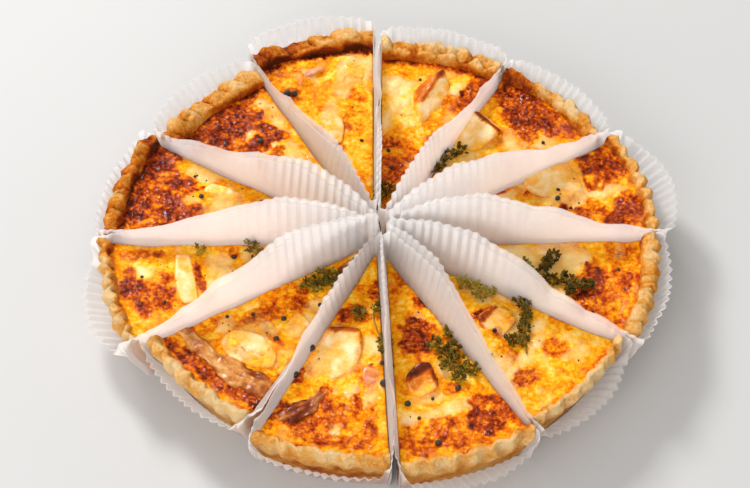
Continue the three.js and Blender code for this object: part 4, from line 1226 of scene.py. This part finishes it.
# ---- The parsley ----------------------------------------------------------------------------
# Curly parsley baked on: thin stems with clusters of frilly leaflets 2 to 4 mm long that wilted and
# stuck to the custard, some gone nearly black and some still green, and a few single leaves.
# Each sprig: its slice, the line of its stem as side and out, then its clusters as side, out and
# radius, how many leaflets each has, and how light its green is, from 0 to 1.
PARSLEY = {
    "herb_02": (2, ((-2, 20), (-1, 27)), ((-6, 21, 3.0), (-5, 25, 2.8), (-7, 17, 2.2)), 12, 0.4),
    "herb_03": (
        3, ((-12, 46), (-12, 60)), ((-11, 60, 2.6), (-13, 54, 3.0), (-13, 48, 2.8), (-12, 43, 2.0)), 14, 0.35,
    ),
    "herb_05": (
        5, ((-12, 66), (-4, 66), (1, 69), (3, 76), (4, 86)),
        (
            (-9, 69, 2.6), (-5, 67, 1.8), (1, 66, 2.6), (4, 71, 2.4), (2, 77, 3.2), (5, 82, 3.6),
            (3, 87, 2.4), (8, 80, 2.2),
        ),
        17, 0.32,
    ),
    "herb_06": (
        6, ((-24, 60), (-14, 70), (-6, 76), (0, 82), (3, 85)),
        (
            (-20, 62, 4.2), (-17, 67, 3.0), (-21, 57, 3.0), (-13, 71, 2.2), (-7, 75, 2.6), (-1, 79, 2.6),
            (2, 76, 2.0),
        ),
        17, 0.42,
    ),
    "herb_07": (
        7, ((-4, 52), (-8, 60), (-12, 66), (-16, 75)),
        (
            (-5, 53, 2.8), (-8, 60, 3.6), (-12, 66, 3.8), (-16, 72, 3.2), (-6, 67, 3.0), (-12, 58, 2.8),
            (-9, 74, 2.4), (-13, 49, 2.0),
        ),
        17, 0.52,
    ),
    "herb_08": (
        8, ((-8, 28), (-6, 34), (-9, 42), (-14, 48)),
        ((0, 36, 2.6), (-8, 31, 2.6), (-14, 48, 3.0), (-15, 53, 2.0)), 14, 0.46,
    ),
    "herb_09": (
        9, ((1, 27), (2, 34), (3, 42)),
        ((1, 29, 3.0), (4, 33, 2.8), (-2, 32, 2.4), (4, 40, 3.4), (0, 38, 2.4)), 15, 0.5,
    ),
    "leaf_05": (5, ((-3, 60), (-1, 57)), ((-1.5, 58, 2.4),), 9, 0.9),
    "leaf_06": (
        6, ((-14, 53), (-11, 45), (-8, 37)),
        ((-12, 50, 3.0), (-8, 49, 2.6), (-9, 44, 3.0), (-7, 39, 2.4)), 12, 1.05,
    ),
    "leaf_10a": (10, ((13, 71), (15, 68)), ((15, 70, 2.0),), 8, 0.7),
    "leaf_10b": (10, ((3, 41), (7, 47)), ((4, 43, 2.6), (7, 47, 2.2)), 10, 0.65),
    "leaf_11": (11, ((-18, 51), (-16, 44)), ((-17, 48, 2.2),), 8, 0.7),
}
LEAFLET = 3.0  # about the length of one
SMALLEST_LEAFLET, LARGEST_LEAFLET = 0.6, 1.2  # against that
LEAF_THICKNESS = 0.22
LEAF_TILT = 1.2  # radians at most
STALK_RADIUS, STALK_LIFT = 0.35, 0.6  # height of a stalk's middle over the custard
GOLDEN_TURN = 2.4  # radians from each leaflet of a cluster to the next


def make_parsley_material():
    """Baked parsley leaf: thin, waxy, IOR about 1.4, half matt. Brown-black to olive and moss green,
    mottled by veins 1.2 mm apart."""
    material, tree, surface = new_material("baked_parsley")
    place = add_node(tree, "ShaderNodeTexCoord").outputs["Object"]
    tone = add_node(tree, "ShaderNodeAttribute", {"attribute_name": "tone"}).outputs["Fac"]
    vein = add_node(tree, "ShaderNodeTexNoise", Vector=place, Scale=1 / 0.0012, Detail=3.0, Roughness=0.6)
    vein = vein.outputs["Fac"]
    level = add_node(tree, "ShaderNodeMath", {"operation": "MULTIPLY_ADD"}, _0=vein, _1=0.7, _2=tone)
    level = add_node(tree, "ShaderNodeMapRange", Value=level.outputs[0], From_Min=0.15, From_Max=1.45)
    tint = add_node(
        tree, "ShaderNodeValToRGB", {"stops": (
            (0.0, "#2c1e08"), (0.25, "#4c3a0e"), (0.5, "#6c5616"), (0.75, "#947c22"), (1.0, "#b8a03c"),
        )}, Fac=level.outputs[0],
    ).outputs["Color"]
    bump = add_node(tree, "ShaderNodeBump", Strength=0.4, Distance=0.0003, Height=vein)
    leaf = add_node(
        tree, "ShaderNodeBsdfPrincipled", Base_Color=tint, Roughness=0.5, IOR=1.4, Normal=bump.outputs[0],
        Specular_IOR_Level=0.2,
    )
    tree.links.new(leaf.outputs[0], surface)
    return material


def make_leaflet(name, lobes, curl, ruffle):
    """One leaflet lying along +y from its stalk at the origin, about a unit long, as a few dozen faces."""
    rings, spokes = 4, 19
    turn = np.linspace(-1.9, 1.9, spokes)[None, :]
    share = np.linspace(0.0, 1.0, rings)[:, None]
    edge = 0.16 + 0.5 * np.abs(np.cos(lobes * turn / 2)) ** 1.2 * (0.7 + 0.3 * np.cos(turn))
    edge = edge + 0.05 * np.cos(4 * lobes * turn)
    reach = edge * share
    x = reach * np.sin(turn)
    y = 0.3 + reach * np.cos(turn) - 0.27 * (1 - share)
    z = curl * share**2 * (0.3 + 0.2 * np.cos(turn)) + ruffle * share**2 * np.sin(2 * lobes * turn)
    return make_piece(name, np.stack([x, y, z], axis=-1), grid_faces(rings, spokes)[:, ::-1], baked_parsley)


def make_sprig_tree():
    """Sets a leaflet at each point with its own turn, tilt and size."""
    tree, given = new_tree(
        "sprig", "Sprig", ("Points", "Geometry"), ("Leaflet", "Object"), ("Tilt", "Float"),
        ("Smallest", "Float"), ("Largest", "Float"), ("Seed", "Int"), ("Material", "Material"),
    )
    leaflet = add_node(tree, "GeometryNodeObjectInfo", Object=given["Leaflet"])
    turn = add_node(tree, "GeometryNodeInputNamedAttribute", {"data_type": "FLOAT"}, Name="turn").outputs[0]
    lean = add_node(tree, "ShaderNodeMath", {"operation": "MULTIPLY"}, _0=given["Tilt"], _1=-0.4)
    tilt = add_node(
        tree, "FunctionNodeRandomValue", {"data_type": "FLOAT"}, _2=lean.outputs[0], _3=given["Tilt"],
        Seed=given["Seed"],
    )
    roll = add_node(
        tree, "FunctionNodeRandomValue", {"data_type": "FLOAT"}, _2=-0.7, _3=0.7, Seed=given["Seed"]
    )
    rotation = add_node(tree, "ShaderNodeCombineXYZ", X=tilt.outputs[1], Y=roll.outputs[1], Z=turn)
    size = add_node(
        tree, "FunctionNodeRandomValue", {"data_type": "FLOAT"}, _2=given["Smallest"], _3=given["Largest"],
        Seed=given["Seed"],
    )
    points = add_node(tree, "GeometryNodeMeshToPoints", Mesh=given["Points"])
    leaves = add_node(
        tree, "GeometryNodeInstanceOnPoints", Points=points.outputs[0], Instance=leaflet.outputs["Geometry"],
        Rotation=rotation.outputs[0], Scale=size.outputs[1],
    )
    return end_tree(tree, leaves.outputs[0], given["Material"])


def tube(line, radius, sides=8):
    """A closed round tube along a line, as points and faces."""
    line = np.asarray(line, float)
    ahead = np.gradient(line, axis=0)
    ahead /= np.linalg.norm(ahead, axis=1, keepdims=True)
    beside = np.cross(ahead, [0, 0, 1.0])
    beside /= np.linalg.norm(beside, axis=1, keepdims=True)
    over = np.cross(beside, ahead)
    turn = np.linspace(0, 2 * math.pi, sides, endpoint=False)[None, :, None]
    points = line[:, None] + radius * (np.cos(turn) * beside[:, None] + np.sin(turn) * over[:, None])
    faces = grid_faces(len(line), sides, closed_columns=True)[:, ::-1].tolist()
    faces += [list(range(sides)), [(len(line) - 1) * sides + i for i in reversed(range(sides))]]
    return points.reshape(-1, 3), faces


def make_sprig(label, number, stem, clusters, leaflets, tone, tree, seed):
    """One sprig: leaflets wound out from the middle of each cluster, highest there, and its stalk."""
    slice_ = SLICES[number - 1]
    chance = np.random.default_rng(900 + seed)
    spots, turns = [], []
    for side, out, radius in clusters:
        for i in range(leaflets):
            turn = GOLDEN_TURN * i + chance.uniform(-0.6, 0.6)
            away = radius * (0.1 + 0.75 * math.sqrt((i + 0.5) / leaflets)) * chance.uniform(0.7, 1.15)
            spot = np.array([side + away * math.sin(turn), out + away * math.cos(turn)])
            level = float(custard_relief(slice_, spot[:1], spot[1:])[0][0])
            spots.append([*spot, level + 0.4 + 1.6 * (1 - i / leaflets) * chance.uniform(0.5, 1.2)])
            turns.append(turn)
    # a leaflet points away from its cluster's middle; in the row frame clockwise turns are negative
    turns = -(np.array(turns) + math.radians(HEADINGS[number - 1]))
    tones = tone + chance.uniform(-0.28, 0.28, len(spots))
    piece = make_piece(label, slice_.place(spots), [], baked_parsley, turn=turns, tone=tones)
    grow(
        piece, tree, Leaflet=LEAFLETS[seed % len(LEAFLETS)], Tilt=LEAF_TILT,
        Smallest=SMALLEST_LEAFLET * LEAFLET * MM, Largest=LARGEST_LEAFLET * LEAFLET * MM, Seed=seed,
        Material=baked_parsley,
    )
    thick = piece.modifiers.new("leaf", "SOLIDIFY")
    thick.thickness = LEAF_THICKNESS * MM
    thick.offset = 0
    leaves = bpy.data.meshes.new_from_object(piece.evaluated_get(bpy.context.evaluated_depsgraph_get()))
    piece.modifiers.clear()
    line = rounded([(*spot, 0) for spot in stem], 0.7)
    line[:, 2] = custard_relief(slice_, line[:, 0], line[:, 1])[0] + STALK_LIFT
    points, faces = tube(line, STALK_RADIUS)
    stalk_tone = np.full(len(points), tone + 0.2)
    stalk = make_piece(label + "_stalk", slice_.place(points), faces, baked_parsley, tone=stalk_tone)
    joined = bmesh.new()
    joined.from_mesh(leaves)
    joined.from_mesh(stalk.data)
    piece.data = bpy.data.meshes.new(label)
    joined.to_mesh(piece.data)
    joined.free()
    piece.data.materials.append(baked_parsley)
    bpy.data.objects.remove(stalk)
    piece.name = "parsley_" + label.removeprefix("herb_")
    nodes = [label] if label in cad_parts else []
    seat(piece, "herb", *nodes)


baked_parsley = make_parsley_material()
LEAFLETS = [
    make_leaflet("leaflet_a", 5, 0.5, 0.07),
    make_leaflet("leaflet_b", 3, 0.8, 0.1),
    make_leaflet("leaflet_c", 4, 0.3, 0.12),
]
sprig_tree = make_sprig_tree()
for seed, (label, sprig) in enumerate(PARSLEY.items()):
    make_sprig(label, *sprig, sprig_tree, seed)
for leaflet in LEAFLETS:
    bpy.data.objects.remove(leaflet)

# ---- The paper cases ------------------------------------------------------------------------
# Each slice stands in its own three-cornered case, pressed from one sheet of glassine, a thin half
# see-through paper. It lies flat under the slice, runs up its cut sides in fine pleats and flares
# behind the crust. Between two slices the sides of two cases stand close and lean the same way.
CASE_FOOT = 0.15
SIDE_OFFSET = 0.35  # of the paper off the cut
CRUST_CLEARANCE = 0.5  # of the paper off the back of the crust
CORNER_SLACK = 1.2
CORNER_TOP = 31  # least height of a case at its two corners
PLEAT_PITCH = 4.4
PLEAT_WANDER = 5.0
GLASSINE = 0.1  # drawn thicker than the real 0.04 mm
FOLD_ANGLE = math.radians(24)  # past which an edge of the paper shows as a crease
FINE_STEP, COARSE_STEP = 0.55, 1.1  # along the paper where it is pleated and where it is smooth
SMOOTH_FROM, SMOOTH_TO = 62, 100  # where a side has almost no pleats
LEVELS = np.concatenate([np.linspace(0, 0.5, 6)[:-1], np.linspace(0.5, 1, 12)])  # from foot to edge
LOW = np.clip(LEVELS * 2, 0, 1)[None, :]  # share of the way from the foot to the top of the slice
HIGH = np.clip(LEVELS * 2 - 1, 0, 1)[None, :]  # and from there to the edge
# Along a wall, as shares of its length: how much of its rise it has, and of its lean.
WALL_TOPS = ((0.0, 0.62), (0.013, 0.7), (0.12, 0.9), (0.3, 1.0), (0.52, 0.72), (0.76, 0.4))
WALL_LEANS = ((0.0, 0.0), (0.12, 0.5), (0.3, 1.0), (0.52, 0.7), (0.76, 0.0), (1.0, 0.0))
# Between each slice and the next: how far the paper rises above the custard, how far it leans
# clockwise, how nearly its two sheets meet, and how much lower this slice's and the next one's stand.
WALLS = (
    dict(rise=25, lean=1, close=0.75, lower=(2.0, 0.0)),
    dict(rise=24, lean=-1, close=0.9, lower=(0.0, 2.0)),
    dict(rise=29, lean=-2, close=1.0, lower=(0.0, 1.5)),
    dict(rise=30, lean=-3, close=1.0, lower=(0.5, 2.5)),
    dict(rise=29, lean=-3, close=0.9, lower=(0.0, 2.0)),
    dict(rise=28, lean=-4, close=0.8, lower=(0.0, 4.0)),
    dict(rise=24, lean=1, close=1.0, lower=(1.5, 0.0)),
    dict(rise=15, lean=1, close=0.9, lower=(1.0, 0.0)),
    dict(rise=29, lean=3, close=1.0, lower=(2.0, 0.0)),
    dict(rise=28, lean=3, close=1.0, lower=(2.0, 0.0)),
    dict(rise=30, lean=4, close=0.9, lower=(4.0, 0.0)),
    dict(rise=23, lean=2, close=0.9, lower=(1.0, 0.0)),
)
# Behind each crust: height of the skirt and how far it flares.
SKIRTS = (
    (34, 6), (33, 5), (32, 5), (26, 11), (28, 3), (20, 8),
    (18, 8), (24, 4), (24, 4), (18, 11), (27, 3), (32, 7),
)


def clear_radius(height):
    """How far out the back of a case stands at a height, clear of the crust."""
    share = np.clip((np.asarray(height, float) - STAND) / SHOULDER, 0, 1)
    return BASE_RADIUS + (RIM_RADIUS + 1 - BASE_RADIUS) * share + CRUST_CLEARANCE


def make_glassine_material():
    """Glassine: paper pressed dense between rollers, IOR about 1.5, satin. It lets a good part of the
    light through and scatters it, with faint fibre clouds 3 mm wide."""
    material, tree, surface = new_material("glassine_paper")
    place = add_node(tree, "ShaderNodeTexCoord").outputs["Object"]
    cloud = add_node(tree, "ShaderNodeTexNoise", Vector=place, Scale=1 / 0.003, Detail=3.0, Roughness=0.6)
    tint = add_node(
        tree, "ShaderNodeValToRGB", {"stops": (
            (0.25, "#f7f5f4"), (0.75, "#f2f0ef"),
        )}, Fac=cloud.outputs["Fac"],
    ).outputs["Color"]
    bump = add_node(tree, "ShaderNodeBump", Strength=0.12, Distance=0.0004, Height=cloud.outputs["Fac"])
    sheet = add_node(
        tree, "ShaderNodeBsdfPrincipled", Base_Color=tint, Roughness=0.42, IOR=1.5, Normal=bump.outputs[0]
    )
    through = add_node(tree, "ShaderNodeBsdfTranslucent", Color=tint, Normal=bump.outputs[0])
    mixed = add_node(tree, "ShaderNodeMixShader", _0=0.68, _1=sheet.outputs[0], _2=through.outputs[0])
    clear = add_node(tree, "ShaderNodeBsdfTransparent", Color=colour("#ffffff"))
    thin = add_node(tree, "ShaderNodeMixShader", _0=0.48, _1=mixed.outputs[0], _2=clear.outputs[0])
    tree.links.new(thin.outputs[0], surface)
    return material


def make_pleat_tree():
    """Folds a smooth sheet into pleats: each point moves along its own direction by a wave that follows
    the distance round the case."""
    tree, given = new_tree(
        "pleats", "Case", ("Sheet", "Geometry"), ("Pitch", "Float"), ("Wander", "Float"),
        ("Material", "Material"),
    )
    kinds = {"along": "FLOAT", "depth": "FLOAT", "middle": "FLOAT", "away": "FLOAT_VECTOR"}
    along, depth, middle, away = (
        add_node(tree, "GeometryNodeInputNamedAttribute", {"data_type": kind}, Name=name).outputs[0]
        for name, kind in kinds.items()
    )
    slow = add_node(tree, "ShaderNodeMath", {"operation": "DIVIDE"}, _0=along, _1=17.0)
    drift = add_node(
        tree, "ShaderNodeTexNoise", {"noise_dimensions": "1D"}, W=slow.outputs[0], Scale=1.0, Detail=2.0
    )
    wandered = add_node(
        tree, "ShaderNodeMath", {"operation": "MULTIPLY_ADD"}, _0=drift.outputs["Fac"], _1=given["Wander"],
        _2=along,
    )
    turns = add_node(
        tree, "ShaderNodeMath", {"operation": "DIVIDE"}, _0=wandered.outputs[0], _1=given["Pitch"]
    )
    fold = add_node(tree, "ShaderNodeMath", {"operation": "PINGPONG"}, _0=turns.outputs[0], _1=0.5)
    wave = add_node(
        tree, "ShaderNodeMapRange", Value=fold.outputs[0], From_Min=0.0, From_Max=0.5, To_Min=-1.0, To_Max=1.0
    )
    push = add_node(
        tree, "ShaderNodeMath", {"operation": "MULTIPLY_ADD"}, _0=wave.outputs[0], _1=depth, _2=middle
    )
    offset = add_node(tree, "ShaderNodeVectorMath", {"operation": "SCALE"}, _0=away, Scale=push.outputs[0])
    moved = add_node(tree, "GeometryNodeSetPosition", Geometry=given["Sheet"], Offset=offset.outputs[0])
    return end_tree(tree, moved.outputs[0], given["Material"])


def spread(start, stop, step):
    """Places from start up to but not at stop, about step apart."""
    return np.linspace(start, stop, max(2, round(abs(stop - start) / step)), endpoint=False)


def half_gap(slice_, sign, t, boundary):
    """Half the way from a slice's cut to its neighbour's, at distances t from the middle of the round."""
    beside = np.array([boundary[1], -boundary[0]])
    cuts = []
    for each, side in ((slice_, sign), (SLICES[(slice_.number - 1 + sign) % len(SLICES)], -sign)):
        cut = each.out * math.cos(HALF_ANGLE) + each.side * side * math.sin(HALF_ANGLE)
        start = each.tip / MM
        reach = (t - start @ boundary) / (cut @ boundary)
        cuts.append((start + reach[:, None] * cut) @ beside)
    return 0.5 * sign * (cuts[1] - cuts[0])


def case_side(slice_, sign, wall, lower, boundary):
    """One side of a case from tip to corner: its points and, at each, the depth of the pleats, how far out
    they are centred, their direction and the distance that their wave follows."""
    number = slice_.number
    length = float(clear_radius(CRUST_HEIGHT)) + CORNER_SLACK
    reach = np.concatenate([
        spread(0.4, SMOOTH_FROM, FINE_STEP), spread(SMOOTH_FROM, SMOOTH_TO, COARSE_STEP),
        spread(SMOOTH_TO, length, FINE_STEP),
    ])
    share = reach / length
    cut = slice_.out * math.cos(HALF_ANGLE) + slice_.side * sign * math.sin(HALF_ANGLE)
    t = (slice_.tip / MM + reach[:, None] * cut) @ boundary  # from the middle of the round, for both sheets
    tops = [(s, SHOULDER + 0.2 + wall["rise"] * r) for s, r in WALL_TOPS]
    tops.append((1.0, max(SKIRTS[number - 1][0], CORNER_TOP)))
    nominal = np.interp(share, *zip(*tops))
    nominal = np.convolve(np.pad(nominal, 7, mode="edge"), np.ones(15) / 15, "valid")  # its corners rounded
    spots = np.stack([t, np.full_like(t, 17.0 * number + 5 * sign)], axis=-1)
    dip = lower * smooth_step(0, 0.1, share) * (1 - smooth_step(0.9, 1, share))
    top = nominal - dip + 0.5 * lumps(spots, 11, 31)
    lean = np.interp(share, *zip(*WALL_LEANS)) * wall["lean"]
    z = CASE_FOOT + (SHOULDER + 0.5 - CASE_FOOT) * LOW + (top[:, None] - SHOULDER - 0.5) * HIGH
    rise = np.clip((z - SHOULDER - 0.5) / (nominal[:, None] - SHOULDER - 0.5), 0, 1.1)
    foot_share = float(clear_radius(0)) / float(clear_radius(CRUST_HEIGHT))  # it is shorter at its foot
    distance = reach[:, None] * (foot_share + (1 - foot_share) * smooth_step(-6, SHOULDER, z))
    x = sign * (math.sin(HALF_ANGLE) * distance + math.cos(HALF_ANGLE) * SIDE_OFFSET)
    y = math.cos(HALF_ANGLE) * distance - math.sin(HALF_ANGLE) * SIDE_OFFSET
    wave_spots = np.stack([np.broadcast_to(t[:, None], z.shape), 0.4 * z + 50 * wall["rise"]], axis=-1)
    soft = smooth_step(0.3, 0.5, share) * (1 - smooth_step(0.88, 0.98, share))
    crease = 0.6 - 2 * np.abs(lumps(wave_spots, 17, 35))  # sharp where the sheet was bent
    sway = lean[:, None] * rise**1.4 + (1.6 * lumps(wave_spots, 15, 32) + 1.3 * crease) * rise * soft[:, None]
    close = wall["close"] * np.clip(half_gap(slice_, sign, t, boundary) - SIDE_OFFSET - 0.15, 0, 3)
    sway = sway + sign * (close * (1 - smooth_step(0.9, 1.0, share)))[:, None] * smooth_step(0, 0.6, rise)
    x = x + sway * math.cos(HALF_ANGLE)
    y = y - sign * sway * math.sin(HALF_ANGLE)
    pleated = 1 - 0.92 * smooth_step(0.28, 0.52, share) + 0.5 * smooth_step(0.85, 0.94, share)
    pleated = pleated * smooth_step(0, 0.02, share)
    depth = (0.18 + 0.46 * rise**0.8) * pleated[:, None]
    middle = sign * 0.17 * (1 - np.clip(rise, 0, 1)) * pleated[:, None]
    away = np.zeros((*z.shape, 3))
    away[..., 0], away[..., 1] = math.cos(HALF_ANGLE), -sign * math.sin(HALF_ANGLE)
    return np.stack([x, y, z], axis=-1), depth, middle, away, np.broadcast_to(t[:, None], z.shape)


def case_skirt(slice_):
    """The back of a case from corner to corner, as for a side."""
    top, flare = SKIRTS[slice_.number - 1]
    radius = float(clear_radius(CRUST_HEIGHT)) + CORNER_SLACK
    angles = spread(HALF_ANGLE, -HALF_ANGLE, FINE_STEP / radius)[1:]
    share = (HALF_ANGLE - angles) / (2 * HALF_ANGLE)
    bend = SHOULDER + 2 if top > CRUST_HEIGHT else top / 2
    spots = np.stack([angles * radius, np.full_like(angles, 9.0 * slice_.number)], axis=-1)
    ends = 1 - smooth_step(0.0, 0.09, np.minimum(share, 1 - share))
    edge = top + (max(top, CORNER_TOP) - top) * ends + 0.7 * lumps(spots, 9, 33)
    z = CASE_FOOT + (bend - CASE_FOOT) * LOW + (edge[:, None] - bend) * HIGH
    full = flare * (1 - ends) * (0.35 + 0.65 * np.sin(math.pi * share))
    full = full + 0.6 * lumps(spots, 14, 34) * (1 - ends)
    slack = 0.2 + CORNER_SLACK * ends[:, None]
    belly = full[:, None] * (0.65 * HIGH + 0.35 * HIGH**2)
    r = clear_radius(np.minimum(z, CRUST_HEIGHT)) + slack * LOW + belly
    x, y = r * np.sin(angles)[:, None], r * np.cos(angles)[:, None]
    depth = (0.2 + 0.3 * LOW + 0.6 * HIGH) * (1 - 0.5 * ends[:, None])
    away = np.zeros((*z.shape, 3))
    away[..., 0], away[..., 1] = np.sin(angles)[:, None], np.cos(angles)[:, None]
    along = np.broadcast_to((angles * radius)[:, None], z.shape)
    return np.stack([x, y, z], axis=-1), depth, depth, away, along


def make_case(slice_, pleats, material):
    """One slice's case: two sides and a back, closed by its floor, pleated and given its thickness."""
    number = slice_.number
    before, after = WALLS[number - 2], WALLS[number - 1]
    sides = []
    for sign, wall, lower in ((1, after, after["lower"][0]), (-1, before, before["lower"][1])):
        turn = math.radians(HEADINGS[number - 1]) + sign * HALF_ANGLE
        boundary = np.array([math.sin(turn), math.cos(turn)])
        sides.append(case_side(slice_, sign, wall, lower, boundary))
    parts = [sides[0], case_skirt(slice_), [part[::-1] for part in sides[1]]]
    points, depth, middle, away, along = (np.concatenate([part[i] for part in parts]) for i in range(5))
    # the floor: the foot drawn in towards a point under the slice, where nothing is pleated
    heart = np.array([0.0, 0.6 * RIM_RADIUS, CASE_FOOT])
    floor = heart + 0.6 * (points[:, 0] - heart)
    points = np.concatenate([floor[:, None], points], axis=1)
    depth, middle, along = (np.append(np.pad(value, ((0, 0), (1, 0))), 0) for value in (depth, middle, along))
    away = np.pad(away, ((0, 0), (1, 0), (0, 0))).reshape(-1, 3)
    away[:, :2] = away[:, :1] * slice_.side + away[:, 1:2] * slice_.out
    away = np.vstack([away, np.zeros(3)])
    stations, columns = points.shape[:2]
    count = stations * columns
    faces = grid_faces(stations, columns, closed_rows=True).tolist()
    faces += [[count, i * columns, (i + 1) % stations * columns] for i in range(stations)]
    points = np.vstack([slice_.place(points).reshape(-1, 3), slice_.place(heart[None])])
    piece = make_piece(
        "glassine_case_" + slice_.label, points, faces, material, along=along, depth=depth * MM,
        middle=middle * MM,
    )
    direction = piece.data.attributes.new("away", "FLOAT_VECTOR", "POINT")
    direction.data.foreach_set("vector", away.astype(np.float32).ravel())
    grow(piece, pleats, Pitch=PLEAT_PITCH, Wander=PLEAT_WANDER, Material=material)
    piece.data.set_sharp_from_angle(angle=FOLD_ANGLE)
    thick = piece.modifiers.new("sheet", "SOLIDIFY")
    thick.thickness = GLASSINE * MM
    thick.offset = 0
    seat(piece, "paper", "paper_" + slice_.label)


glassine = make_glassine_material()
pleats = make_pleat_tree()
for slice_ in SLICES:
    make_case(slice_, pleats, glassine)

# ---- Floor, light and camera ----------------------------------------------------------------
# A pale table under plain studio light: a soft lamp from behind on the left, a wide one from the front
# and a faint glow all round. The camera looks down on the quiche from the front.
QUICHE_MIDDLE = Vector((-0.00195, -0.00201, 0.0307))
TILT = math.radians(50.67)
ROLL = math.radians(0.49)
CAMERA_DISTANCE = 1.1786
AIM_RIGHT, AIM_UP = -0.00191, -0.00426  # how far it looks past the middle

material, tree, surface = new_material("pale_table")
shader = add_node(tree, "ShaderNodeBsdfPrincipled", Base_Color=colour("#bebdbc"), Roughness=0.7)
tree.links.new(shader.outputs[0], surface)
floor = make_piece("table", [(-3, -3, 0), (3, -3, 0), (3, 3, 0), (-3, 3, 0)], [(0, 1, 2, 3)], material)

camera = bpy.data.objects.new("camera", bpy.data.cameras.new("camera"))
camera.data.sensor_width = 36
camera.data.lens = 125
forward = Vector((0, math.cos(TILT), -math.sin(TILT)))
upward = Vector((0, math.sin(TILT), math.cos(TILT)))
camera.location = QUICHE_MIDDLE - forward * CAMERA_DISTANCE + Vector((AIM_RIGHT, 0, 0)) + upward * AIM_UP
camera.rotation_mode = "QUATERNION"
camera.rotation_quaternion = forward.to_track_quat("-Z", "Y")
camera.rotation_mode = "XYZ"
camera.rotation_euler.rotate_axis("Z", ROLL)
bpy.context.scene.collection.objects.link(camera)
bpy.context.scene.camera = camera

for name, power, size, spot in (
    ("window_lamp", 31, 0.42, (-0.75, 1.2, 1.12)),
    ("front_fill", 20, 1.2, (-0.5, -1.45, 0.8)),
):
    lamp = bpy.data.objects.new(name, bpy.data.lights.new(name, "AREA"))
    lamp.data.energy = power
    lamp.data.size = size
    lamp.location = spot
    lamp.rotation_euler = (-Vector(spot)).to_track_quat("-Z", "Y").to_euler()
    bpy.context.scene.collection.objects.link(lamp)

world = bpy.data.worlds.new("studio")
world.use_nodes = True
world.node_tree.nodes["Background"].inputs["Color"].default_value = colour("#f8f7f5")
world.node_tree.nodes["Background"].inputs["Strength"].default_value = 0.68
bpy.context.scene.world = world
bpy.context.scene.view_settings.view_transform = "Standard"
